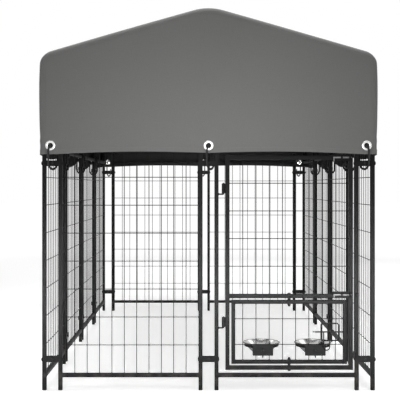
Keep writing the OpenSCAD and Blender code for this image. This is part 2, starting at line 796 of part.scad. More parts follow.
// Round posts with a reduced end that plugs into the legs
module roof_posts() {
    color(black) each_half_hoop() translate([side_x, 0, 0]) difference() {
        union() {
            translate([0, 0, leg_top - leg_spigot_l])
                cylinder(d = leg_spigot_d, h = leg_spigot_l + cut);
            translate([0, 0, leg_top]) cylinder(d = roof_tube_d, h = post_top - leg_top - weld_gap);
        }
        translate([0, 0, leg_top - leg_spigot_l - cut])
            cylinder(d = leg_spigot_d - 2 * tube_wall, h = leg_spigot_l + post_floor + 2 * cut);
        translate([0, 0, leg_top + post_floor]) cylinder(d = roof_bore, h = post_top - leg_top);
    }
}

// Bends at the eaves, with a spigot in the post and one in the rafter
module roof_elbows() {
    color(black) each_half_hoop() {
        bend(eave_c, eave_r, 0, 90 - eave_pitch, roof_tube_d, 0);
        spigot(eave_c, eave_r, 0, false);
        spigot(eave_c, eave_r, 90 - eave_pitch, true);
    }
}

module rafters() {
    trim = weld_gap / bow_r * 180 / PI;
    color(black) each_half_hoop()
        bend(bow_c, bow_r, 90 - eave_pitch + trim, 90 - ridge_pitch - trim, roof_tube_d, roof_bore);
}

module ridge_joints() {
    color(black) for (y = ROOF_Y) translate([0, y, 0]) {
        bend(ridge_c, ridge_r, 90 - ridge_pitch, 90 + ridge_pitch, roof_tube_d, 0);
        for (s = [0, 1]) mirror([s, 0, 0]) spigot(ridge_c, ridge_r, 90 - ridge_pitch, false);
    }
}

// Level tubes between neighbouring hoops, at a place in the plane of a hoop
module poles(x, z) {
    color(black) for (i = [0 : len(ROOF_Y) - 2])
        translate([x, ROOF_Y[i] + roof_r + weld_gap, z]) rotate([-90, 0, 0]) difference() {
            length = ROOF_Y[i + 1] - ROOF_Y[i] - roof_tube_d - 2 * weld_gap;
            cylinder(d = roof_tube_d, h = length);
            translate([0, 0, -cut]) cylinder(d = roof_bore, h = length + 2 * cut);
        }
}

module ridge_poles() {
    poles(0, ridge_mid_z);
}

module eave_poles() {
    for (s = [-1, 1]) poles(s * side_x, post_top - eave_drop);
}

// Right half of the cover's outline across the run, set in from its outer face
function half_outline(inset) =
    let (outer_r = bow_r + cover_off - inset,
         corner_r = cover_eave_r - inset,
         corner_x = cover_x - cover_eave_r,
         reach = outer_r - corner_r,
         corner_c = [corner_x, bow_c[1] + sqrt(pow(reach, 2) - pow(corner_x - bow_c[0], 2))],
         corner_a = atan2(corner_c[1] - bow_c[1], corner_c[0] - bow_c[0]))
    concat([[cover_x - inset, cover_low]],
        arc(corner_c, corner_r, 0, corner_a, 8),
        arc(bow_c, outer_r, corner_a, 90 - ridge_pitch, 6),
        arc(ridge_c, ridge_r + cover_off - inset, 90 - ridge_pitch, 90, 4));

// Solid with the cover's outline and this half length
module cover_body(inset, half_l) {
    right = half_outline(inset);
    last = len(right) - 1;
    left = [for (i = [1 : last]) [-right[last - i][0], right[last - i][1]]];
    translate([0, half_l, 0]) rotate([90, 0, 0])
        linear_extrude(2 * half_l) polygon(concat(right, left));
}

// Curve of a hem over a half length: it swings between the hooks, one a bay, and rises to its middle
function hem_curve(half_l, swing, end_swing, rise) =
    let (n = hem_steps * ceil(half_l / bay))
    [for (i = [-n : n])
        let (d = min(abs(i) * bay / hem_steps, half_l) * sign(i))
        let (s = abs(d) > bay ? end_swing : swing)
        [d, hem_z + rise * (1 - pow(d / half_l, 2)) + s * abs(sin(180 * d / bay))]];

// Space under a hem, across the cover
module under_hem(half_l, swing, end_swing, rise, depth) {
    curve = hem_curve(half_l, swing, end_swing, rise);
    low = cover_low - trim_l;
    rotate([90, 0, 0]) linear_extrude(2 * depth, center = true)
        polygon(concat([[half_l, low], [-half_l, low]], curve));
}

// Fabric cover with a gable at each end, open underneath
module cover() {
    color(cloth) difference() {
        cover_body(0, cover_y);
        cover_body_inside();
        rotate(90) under_hem(cover_y + cut, -hem_sag, -hem_end_sag, 0, cover_x + cut);
        under_hem(cover_x - cover_t - cut, hem_arch, hem_arch, hem_rise, cover_y + cut);
        for (e = EYES) at(e) translate([0, -eyelet_y - cover_t, eyelet_z])
            bar_y(2 * (barrel_r + barrel_clear), 2 * cover_t);
    }
}

// Room inside the cover, open at the bottom
module cover_body_inside() {
    cover_body(cover_t, cover_y - cover_t);
    translate([cover_t - cover_x, cover_t - cover_y, cover_low - trim_l])
        cube([2 * (cover_x - cover_t), 2 * (cover_y - cover_t), 2 * trim_l]);
}

// Flanged rings in the cover, one above every pair of legs
module eyelets() {
    half_t = cover_t / 2;
    color(steel) for (e = EYES) at(e)
        translate([0, -eyelet_y, eyelet_z]) rotate([90, 0, 0]) rotate_extrude()
            polygon([[eyelet_hole_r, -half_t - eyelet_t], [eyelet_r, -half_t - eyelet_t],
                [eyelet_r, -half_t], [barrel_r, -half_t], [barrel_r, half_t], [eyelet_r, half_t],
                [eyelet_r, half_t + eyelet_t], [eyelet_hole_r, half_t + eyelet_t]]);
}

// Upright stretch of hook wire
module hook_leg(u, from, to) {
    translate([u, 0, from]) cylinder(d = hook_d, h = to - from);
}

// Half turn of hook wire
module hook_bend(z, from) {
    translate([hook_mid_u, 0, z]) rotate([90, 0, 0]) rotate(from)
        rotate_extrude(angle = 180) translate([hook_r, 0]) circle(d = hook_d);
}

// Open hooks from the eyelets down round the outer straps of the upper clamps
module cover_hooks() {
    color(black) for (e = EYES) at(e)
        translate([0, -eyelet_y, 0]) rotate(90 - e[3] * hook_turn) {
            hook_leg(hook_front_u, hook_low_z, hook_top_z);
            hook_leg(hook_rear_u, hook_low_z, hook_low_z + hook_tail);
            hook_leg(hook_rear_u, hook_top_z - hook_return, hook_top_z);
            hook_bend(hook_top_z, 0);
            hook_bend(hook_low_z, 180);
        }
}

for (p = ALL_PANELS) {
    place = [p[1], p[2], p[3]];
    at(place) panel_frame();
}
for (p = PLAIN_PANELS) {
    place = [p[1], p[2], p[3]];
    at(place) panel_mesh();
}
leg_feet();
leg_caps();
clamp_outer_straps();
clamp_inner_straps();
clamp_bolts();
clamp_nuts();
door_frame();
door_mesh();
hinge_sleeves();
hinge_pins();
latch_plate(latch_high_z);  // upper_latch_plate
latch_bolt(latch_high_z);  // upper_latch_bolt
latch_plate(latch_low_z);  // lower_latch_plate
latch_bolt(latch_low_z);  // lower_latch_bolt
latch_keepers();
feeder_frame();
feeder_mesh();
pivot_bolts();
pivot_spacers();
pivot_nuts();
feeder_latch_guide();
feeder_latch_bolt();
bowl(-1);  // left_bowl
bowl(1);  // right_bowl
bowl_holders();
bowl_plates();
bowl_screws();
roof_posts();
roof_elbows();
rafters();
ridge_joints();
ridge_poles();
eave_poles();
cover();
eyelets();
cover_hooks();
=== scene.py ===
"""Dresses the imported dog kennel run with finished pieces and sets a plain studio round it."""
import math

import bmesh
import bpy
from bpy.props import FloatProperty, FloatVectorProperty, PointerProperty
from mathutils import Matrix, Vector, noise


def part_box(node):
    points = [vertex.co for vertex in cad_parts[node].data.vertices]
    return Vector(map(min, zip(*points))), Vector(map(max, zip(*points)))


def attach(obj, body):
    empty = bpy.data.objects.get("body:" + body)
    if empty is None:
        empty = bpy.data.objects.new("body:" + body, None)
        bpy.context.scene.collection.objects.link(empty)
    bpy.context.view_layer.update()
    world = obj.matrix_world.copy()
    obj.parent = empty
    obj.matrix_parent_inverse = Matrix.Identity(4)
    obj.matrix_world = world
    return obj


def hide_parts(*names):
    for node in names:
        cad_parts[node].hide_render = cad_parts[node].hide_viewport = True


bl_info = {
    "name": "Dog kennel run",
    "version": (1, 0, 0),
    "blender": (4, 5, 0),
    "location": "3D View > Sidebar > Kennel",
    "description": "Adds the finished pieces of a panelled dog run with a fabric roof",
    "category": "Add Mesh",
}

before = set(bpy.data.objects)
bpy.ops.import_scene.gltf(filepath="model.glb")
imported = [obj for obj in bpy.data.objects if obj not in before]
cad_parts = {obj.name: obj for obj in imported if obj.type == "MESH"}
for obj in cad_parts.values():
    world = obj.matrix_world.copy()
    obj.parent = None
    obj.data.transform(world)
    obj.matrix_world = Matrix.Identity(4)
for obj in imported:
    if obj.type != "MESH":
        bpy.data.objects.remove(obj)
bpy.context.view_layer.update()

# Panels, named as their nodes are
PLAIN_PANELS = ["front_left_panel", "back_left_panel", "back_right_panel"]
PLAIN_PANELS += [f"{side}_panel_{i}" for side in ("left", "right") for i in range(1, 5)]
ALL_PANELS = PLAIN_PANELS + ["door_panel"]
ROOF_NODES = ["roof_posts", "roof_elbows", "rafters", "ridge_joints", "ridge_poles", "eave_poles"]

# Sizes that the model's boxes don't give, in metres
WELD_GAP = 0.0001
PANEL_W = 0.54
WIRE_D = 0.003
WIRE_OFF = 0.0013
DOOR_ROW = 0.1066
FEEDER_ROW = 0.0493
PLUG_T = 0.002
CLAMP_SPAN = 0.0615
CLAMP_H = 0.022
CLAMP_T = 0.0025
CLAMP_BOLT_D = 0.006
CLAMP_HEAD_D = 0.011
SLEEVE_L = 0.038
HINGE_PIN_D = 0.006
LATCH_PLATE_T = 0.002
LATCH_PLATE_H = 0.025
LATCH_ROD_D = 0.007
LATCH_GUIDE_W = 0.008
LATCH_GUIDE_X = (0.032, 0.064)
LEVER_D = 0.005
RIVET_D = 0.0042
RIVET_STEP = 0.016
RIVET_RISE = 0.008
ROD_D = 0.0054
ROD_FRONT = 0.0025
ROD_PLAY = 0.00025
HANDLE_D = 0.0045
HANDLE_W = 0.023
HANDLE_SHIFT = 0.009125
GUIDE_BAR = 0.0042
PIVOT_D = 0.008
PIVOT_L = 0.0482
PIVOT_HEAD = 0.0045
PIVOT_BORE_R = 0.00405
SPACER_R = 0.0065
FEEDER_GAP = 0.007
RING_D = 0.006
PLATE_T = 0.0025
PLATE_W = 0.08
TAB_W = 0.036
LUG_W = 0.02
PEG_L = 0.008
BOWL_T = 0.0012
BOWL_BEAD_R = 0.0025
BOWL_FLOOR_R = 0.034
SCREW_D = 0.005
EYELET_R = 0.019
EYELET_HOLE_R = 0.009
EYELET_CUT_R = 0.0108
EYELET_SHIFT = 0.006
BUTTON_D = 0.0058
BUTTON_IN = 0.0078
BUTTON_UP = 0.032
HOOK_D = 0.006
HOOK_ROOM = 0.00525
HOOK_TAIL = 0.012
HOOK_RETURN = 0.006
HOOK_TURN = math.radians(32)
# Width of a nut over its corners, in diameters of its bolt
NUT_WIDTH = 1.9
# Steps of the cover's mesh: up its hem and its walls, across a gable, round its edge and along the run
HEM_ROWS = 3
WALL_ROWS = 20
GABLE_COLUMNS = 60
EDGE_STEPS = 6
RUN_STEPS = 112

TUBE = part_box("front_left_panel_frame")[1].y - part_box("front_left_panel_frame")[0].y
FRONT_Y = -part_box("front_left_panel_frame")[0].y - TUBE / 2
SIDE_X = -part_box("left_panel_1_frame")[0].x - TUBE / 2
LEG_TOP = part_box("front_left_panel_frame")[1].z
BAY = PANEL_W + CLAMP_SPAN
ROOF_Y = [-FRONT_Y, -CLAMP_SPAN / 2, FRONT_Y]
EYELET_Z = (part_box("eyelets")[0].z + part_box("eyelets")[1].z) / 2

# Turns local Z the other way
OVER = Matrix.Rotation(math.pi, 4, "X")


def upright(x, y, z):
    """A place whose XY plane stands up, with local Z towards the front."""
    return Matrix.Translation((x, y, z)) @ Matrix.Rotation(math.pi / 2, 4, "X")


def along_x(x, y, z):
    """A place whose local Z runs along X."""
    return Matrix.Translation((x, y, z)) @ Matrix.Rotation(math.pi / 2, 4, "Y")


def metres(name, description, default):
    """A length of the finish."""
    return FloatProperty(
        name=name, description=description, default=default, subtype="DISTANCE", unit="LENGTH")


def colour(name, description, default):
    """A colour of the finish."""
    return FloatVectorProperty(
        name=name, description=description, default=default, subtype="COLOR", size=3, min=0, max=1)


class KennelSizes(bpy.types.PropertyGroup):
    """Sizes of the finish that a user may change."""

    corner: metres("Tube corner", "Radius of a square tube's corners", 0.0018)
    bead: metres("Weld bead", "Thickness of the weld round a tube's end", 0.0022)
    edge: metres("Plate edge", "Width of the softened edge of a plate", 0.0006)
    cloth: metres("Cloth thickness", "Thickness of the cover's fabric", 0.0012)
    gable_edge: metres("Gable edge", "Radius where the roof turns into a gable", 0.02)
    hem: metres("Hem height", "Height of the folded hem", 0.02)
    sag: metres("Roof sag", "How far the roof sinks between two hoops", 0.011)
    bulge: metres("Side bulge", "How far the side walls swell under the eaves", 0.0047)
    folds: metres("Fold depth", "Depth of the folds in the cover's walls", 0.0035)
    stitch: metres("Stitch length", "Length from one stitch to the next", 0.006)


class KennelColours(bpy.types.PropertyGroup):
    """Colours of the finish that a user may change."""

    frame_paint: colour("Frame paint", "Powder coat on the square tubes", (0.012, 0.012, 0.0123))
    wire_paint: colour("Wire paint", "Coat on the welded wires", (0.012, 0.012, 0.0123))
    roof_paint: colour("Roof paint", "Coat on the roof tubes", (0.018, 0.018, 0.019))
    fasteners: colour("Fasteners", "Black zinc on bolts and nuts", (0.022, 0.022, 0.023))
    rod_zinc: colour("Latch rods", "Bright zinc on the door's latch rods", (0.16, 0.16, 0.16))
    bowl_steel: colour("Bowl steel", "Polished steel of the bowls", (0.66, 0.66, 0.65))
    eyelet_metal: colour("Eyelet metal", "Nickel of the eyelets", (0.74, 0.74, 0.73))
    plugs: colour("Plugs", "Plastic of the feet and caps", (0.018, 0.018, 0.019))
    hook_coat: colour("Hooks", "Coat on the cover's hooks", (0.015, 0.015, 0.016))
    cloth: colour("Cloth", "Outside of the cover", (0.19, 0.1895, 0.186))
    # The lining's near-black colour is painted shade of the cover's inside.
    lining: colour("Lining", "Coated inside of the cover", (0.026, 0.026, 0.026))
    thread: colour("Thread", "Stitches of the cover", (0.215, 0.214, 0.21))
    floor: colour("Floor", "Studio floor", (0.86, 0.86, 0.86))


def sizes():
    """Sizes of the finish in this scene."""
    return bpy.context.scene.kennel_sizes


def colours():
    """Colours of the finish in this scene."""
    return bpy.context.scene.kennel_colours


class Socket:
    """An output of a material's nodes; arithmetic on it adds Math nodes."""

    def __init__(self, finish, output):
        self.finish = finish
        self.output = output

    def math(self, operation, a, b=0.0):
        """Adds a Math node."""
        return self.finish.node("Math", {"operation": operation}, {0: a, 1: b})

    def __add__(self, other):
        return self.math("ADD", self, other)

    def __radd__(self, other):
        return self.math("ADD", other, self)

    def __sub__(self, other):
        return self.math("SUBTRACT", self, other)

    def __rsub__(self, other):
        return self.math("SUBTRACT", other, self)

    def __mul__(self, other):
        return self.math("MULTIPLY", self, other)

    def __rmul__(self, other):
        return self.math("MULTIPLY", other, self)

    def __abs__(self):
        return self.math("ABSOLUTE", self)

    def sine(self):
        return self.math("SINE", self)

    def root(self):
        return self.math("SQRT", self)

    def step(self, low, high):
        """0 below low, 1 above high, smooth between."""
        return self.finish.node(
            "MapRange", {"interpolation_type": "SMOOTHSTEP"}, {0: self, 1: low, 2: high, 3: 0.0, 4: 1.0})


class Finish:
    """A material in the making, or a world."""

    def __init__(self, name, kind="materials"):
        self.material = getattr(bpy.data, kind).new(name)
        self.material.use_nodes = True
        self.tree = self.material.node_tree
        self.tree.nodes.clear()

    def node(self, kind, settings=None, inputs=None, out=0):
        """Adds a node: its settings first, then the values or links of its sockets."""
        made = self.tree.nodes.new("ShaderNode" + kind)
        for key, value in (settings or {}).items():
            setattr(made, key, value)
        for key, value in (inputs or {}).items():
            if isinstance(value, Socket):
                self.tree.links.new(value.output, made.inputs[key])
            else:
                made.inputs[key].default_value = value
        return Socket(self, made.outputs[out]) if made.outputs else None

    def place(self):
        """Coordinates on the object, in metres."""
        return self.node("TexCoord", out="Object")

    def axes(self, vector):
        """X, Y and Z of a vector."""
        split = self.node("SeparateXYZ", inputs={0: vector}).output.node
        return [Socket(self, split.outputs[i]) for i in range(3)]

    def noise(self, at, scale, detail=2.0, rough=0.5):
        """Cloudy values about 0.5."""
        return self.node(
            "TexNoise", inputs={"Vector": at, "Scale": scale, "Detail": detail, "Roughness": rough})

    def mix(self, factor, a, b):
        """Blend of two colours."""
        return self.node(
            "Mix", {"data_type": "RGBA"}, {"Factor": factor, 6: rgba(a), 7: rgba(b)}, out=2)

    def bump(self, height, distance, strength=1.0, normal=None):
        """Normal bent by a height, on top of another normal."""
        inputs = {"Height": height, "Distance": distance, "Strength": strength}
        if normal:
            inputs["Normal"] = normal
        return self.node("Bump", inputs=inputs)

    def surface(self, **inputs):
        """Ends the material with one shader; its sockets are named with _ for a space."""
        named = {key.replace("_", " "): value for key, value in inputs.items()}
        shader = self.node("BsdfPrincipled", inputs=named)
        self.node("OutputMaterial", inputs={"Surface": shader})
        return self.material


def rgba(value):
    """A colour with its alpha, or a socket as it is."""
    return value if isinstance(value, Socket) else (*value[:3], 1.0)


def shade(value, factor):
    """A colour made lighter or darker."""
    return [min(1.0, c * factor) for c in value]


# Colour of dust, and the width of two threads of the cloth
DUST = (0.2, 0.185, 0.165)
WEAVE = 0.0011


def powder_coat(name, base, rough=0.5, gloss=0.06):
    """Fine-grained matt coat with faint mottling, scuffs and dust near the ground."""
    f = Finish(name)
    at = f.place()
    height = f.axes(at)[2]
    cloud = f.noise(at, 7.0, 3.0)
    grain = f.noise(at, 1400.0, 1.0)
    peel = f.noise(at, 260.0, 2.0)
    scuff = f.noise(at, 48.0, 6.0, 0.68).step(0.64, 0.72)
    dust = (1.0 - height.step(0.0, 0.16)) * f.noise(at, 30.0, 4.0).step(0.42, 0.7)
    tone = f.mix(cloud, shade(base, 0.84), shade(base, 1.18))
    tone = f.mix(scuff * 0.3, tone, shade(base, 1.9))
    tone = f.mix(dust * 0.22, tone, DUST)
    roughness = rough + (cloud - 0.5) * 0.12 + dust * 0.15 - scuff * 0.08
    bumps = f.bump(grain, 0.00005, 0.5, f.bump(peel, 0.00012, 0.6))
    return f.surface(
        Base_Color=tone, Roughness=roughness, Normal=bumps, Specular_IOR_Level=gloss)


def hook_coat(name, base):
    """Smoother and glossier powder coat."""
    return powder_coat(name, base, 0.34, 0.22)


def zinc(name, base):
    """Plated steel with rubbed bright spots."""
    f = Finish(name)
    at = f.place()
    cloud = f.noise(at, 55.0, 3.0)
    rub = f.noise(at, 190.0, 5.0, 0.7).step(0.56, 0.68)
    tone = f.mix(cloud, shade(base, 0.75), shade(base, 1.25))
    tone = f.mix(rub * 0.5, tone, shade(base, 2.0))
    roughness = 0.38 + cloud * 0.14 - rub * 0.06
    return f.surface(
        Base_Color=tone, Roughness=roughness, Metallic=0.92,
        Normal=f.bump(f.noise(at, 900.0, 2.0), 0.00004, 0.5))


def bowl_radius():
    """Radius of a bowl over its rim."""
    low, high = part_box("left_bowl")
    return (high.x - low.x) / 2


def bowl_middles():
    """X of the left and the right bowl's middle."""
    return [(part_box(n)[0].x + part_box(n)[1].x) / 2 for n in ("left_bowl", "right_bowl")]


def polished_steel(name, base):
    """Spun steel, bright inside, with rings and scratches; a painted dark reflection covers the rim and the
    outside, which is also rougher.
    """
    f = Finish(name)
    at = f.place()
    x, y, z = f.axes(at)
    left, right = bowl_middles()
    across = abs(x - (left + right) / 2) - (right - left) / 2
    away = y - (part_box("left_bowl")[0].y + bowl_radius())
    radius = (across * across + away * away).root()
    rings = f.noise(f.node("CombineXYZ", inputs={0: radius, 1: 0.0, 2: z * 0.3}), 1500.0, 2.0)
    marks = f.noise(at, 120.0, 6.0, 0.75).step(0.6, 0.7)
    outside = 1.0 - f.axes(f.node("TexCoord", out="Normal"))[2].step(-0.3, 0.0)
    rim = radius.step(bowl_radius() - 0.006, bowl_radius() - 0.0035)
    # Painted dark reflection: the rim and the downward-facing outside are made dark.
    painted_dark_reflection = outside + rim * (1.0 - outside) * 0.9
    tone = f.mix(rings, shade(base, 0.88), shade(base, 1.08))
    tone = f.mix(painted_dark_reflection, tone, f.mix(rings, shade(base, 0.16), shade(base, 0.24)))
    roughness = 0.14 + rings * 0.1 + marks * 0.08 + outside * 0.25
    return f.surface(
        Base_Color=tone, Roughness=roughness, Metallic=1.0,
        Normal=f.bump(rings, 0.00003, 0.15))


def nickel(name, base):
    """Pressed bright metal with slight tarnish."""
    f = Finish(name)
    at = f.place()
    cloud = f.noise(at, 160.0, 4.0, 0.6)
    tone = f.mix(cloud.step(0.4, 0.75) * 0.5, base, shade(base, 0.72))
    return f.surface(
        Base_Color=tone, Roughness=0.16 + cloud * 0.16, Metallic=1.0,
        Normal=f.bump(cloud, 0.00005, 0.3))


def moulded_plastic(name, base):
    """Matt moulded plastic with a fine sparked grain and dust near the ground."""
    f = Finish(name)
    at = f.place()
    height = f.axes(at)[2]
    grain = f.noise(at, 1100.0, 2.0)
    cloud = f.noise(at, 35.0, 4.0)
    dust = (1.0 - height.step(0.0, 0.02)) * cloud.step(0.4, 0.65)
    tone = f.mix(dust * 0.35, f.mix(cloud, shade(base, 0.8), shade(base, 1.3)), DUST)
    return f.surface(
        Base_Color=tone, Roughness=0.5 + cloud * 0.16, Normal=f.bump(grain, 0.00008, 0.5))


def woven(f):
    """Height of a plain weave over the map in metres, and its coordinates."""
    u, v, _ = f.axes(f.node("UVMap", {"uv_map": "Weave"}))
    turns = 2 * math.pi / WEAVE
    return 0.5 + (u * turns).sine() * (v * turns).sine() * 0.5, u, v


def cover_cloth(name, base):
    """Coated polyester with a plain weave, thread slubs, gentle fading and painted shade in the weave's low
    spots.
    """
    f = Finish(name)
    at = f.place()
    height, u, v = woven(f)
    lines = f.node("CombineXYZ", inputs={0: u * 900.0, 1: v * 22.0, 2: 0.0})
    cross = f.node("CombineXYZ", inputs={0: u * 22.0, 1: v * 900.0, 2: 3.0})
    slubs = f.noise(lines, 1.0, 2.0) * 0.5 + f.noise(cross, 1.0, 2.0) * 0.5
    cloud = f.noise(at, 2.6, 3.0)
    crease = f.noise(at, 16.0, 4.0, 0.55)
    tone = f.mix(cloud, shade(base, 0.93), shade(base, 1.07))
    tone = f.mix(slubs.step(0.35, 0.65) * 0.5, tone, shade(base, 1.14))
    # Painted shade: the weave's low spots are darkened.
    tone = f.mix((1.0 - height) * 0.22, tone, shade(base, 0.72))
    relief = f.bump(crease, 0.0012, 0.22)
    relief = f.bump(slubs, 0.00012, 0.4, relief)
    relief = f.bump(height, 0.00012, 0.45, relief)
    return f.surface(
        Base_Color=tone, Roughness=0.72 + (slubs - 0.5) * 0.2, Normal=relief,
        Specular_IOR_Level=0.15, Sheen_Weight=0.05, Sheen_Roughness=0.5)


def cover_lining(name, base):
    """Coated back of the cloth, near black as painted shade of the cover's inside, with the weave showing
    through.
    """
    f = Finish(name)
    at = f.place()
    height, _, _ = woven(f)
    cloud = f.noise(at, 5.0, 4.0)
    tone = f.mix(cloud, shade(base, 0.8), shade(base, 1.25))
    return f.surface(
        Base_Color=tone, Roughness=0.62 + cloud * 0.14, Specular_IOR_Level=0.04,
        Normal=f.bump(height, 0.00008, 0.3, f.bump(cloud, 0.0012, 0.25)))


def sewing_thread(name, base):
    """Twisted thread."""
    f = Finish(name)
    at = f.place()
    twist = f.noise(at, 2400.0, 2.0)
    tone = f.mix(twist, shade(base, 0.7), shade(base, 1.2))
    return f.surface(Base_Color=tone, Roughness=0.62 + twist * 0.15, Normal=f.bump(twist, 0.0001, 0.5))


MAKERS = {
    "frame_paint": powder_coat, "wire_paint": powder_coat, "roof_paint": powder_coat, "hook_coat": hook_coat,
    "fasteners": zinc, "rod_zinc": zinc, "bowl_steel": polished_steel, "eyelet_metal": nickel,
    "plugs": moulded_plastic, "cloth": cover_cloth, "lining": cover_lining, "thread": sewing_thread}
FINISHES = {}


def finish(name):
    """The material of a finish, made once."""
    if name not in FINISHES:
        FINISHES[name] = MAKERS[name](name, getattr(colours(), name))
    return FINISHES[name]


def disc(d, n=12):
    """Points of a circle, counter-clockwise."""
    turns = [2 * math.pi * i / n for i in range(n)]
    return [(d / 2 * math.cos(a), d / 2 * math.sin(a)) for a in turns]


def rounded_rect(w, h, r, n=3):
    """Points of a rectangle with rounded corners, counter-clockwise."""
    points = []
    for k, (sx, sy) in enumerate(((1, 1), (-1, 1), (-1, -1), (1, -1))):
        for i in range(n + 1):
            a = math.pi / 2 * (k + i / n)
            points.append((sx * (w / 2 - r) + r * math.cos(a), sy * (h / 2 - r) + r * math.sin(a)))
    return points


def inset(outline, d):
    """The outline moved inward by d."""
    moved = []
    points = [Vector(p) for p in outline]
    for i, p in enumerate(points):
        a = (p - points[i - 1]).normalized()
        b = (points[(i + 1) % len(points)] - p).normalized()
        inward = Vector((-a.y - b.y, a.x + b.x)).normalized()
        moved.append(p + inward * d / max(0.3, inward.dot(Vector((-a.y, a.x)))))
    return moved


def bent(points, radius, steps=6):
    """The route through these points with its corners rounded."""
    points = [Vector(p) for p in points]
    route = [points[0]]
    for before, corner, after in zip(points, points[1:], points[2:]):
        a, b = (before - corner).normalized(), (after - corner).normalized()
        half = a.angle(b) / 2
        centre = corner + (a + b).normalized() * (radius / math.sin(half))
        u, v = (corner + s * (radius / math.tan(half)) - centre for s in (a, b))
        turn = u.angle(v)
        for i in range(steps + 1):
            t = i / steps
            way = u * math.sin((1 - t) * turn) + v * math.sin(t * turn)
            route.append(centre + way / math.sin(turn))
    route.append(points[-1])
    return [p for i, p in enumerate(route) if i == 0 or (p - route[i - 1]).length > 1e-6]


def shown(name, data):
    """An object of this mesh, lamp or camera, in the scene."""
    obj = bpy.data.objects.new(name, data)
    bpy.context.scene.collection.objects.link(obj)
    return obj


def soften(mesh, sharp):
    """Shades a mesh smooth, but for the edges that turn more than this many degrees."""
    mesh.polygons.foreach_set("use_smooth", [True] * len(mesh.polygons))
    mesh.set_sharp_from_angle(angle=math.radians(sharp))
    return mesh


def cut_out(obj, holes):
    """An object's mesh with its modifiers applied and a form's shapes cut out of it."""
    holes.close()
    cutter = shown("holes", holes.mesh("holes"))
    cut = obj.modifiers.new("Holes", "BOOLEAN")
    cut.operation = "DIFFERENCE"
    cut.solver = "EXACT"
    cut.object = cutter
    bpy.context.view_layer.update()
    made = bpy.data.meshes.new_from_object(obj.evaluated_get(bpy.context.evaluated_depsgraph_get()))
    bpy.data.meshes.remove(cutter.data)
    return made


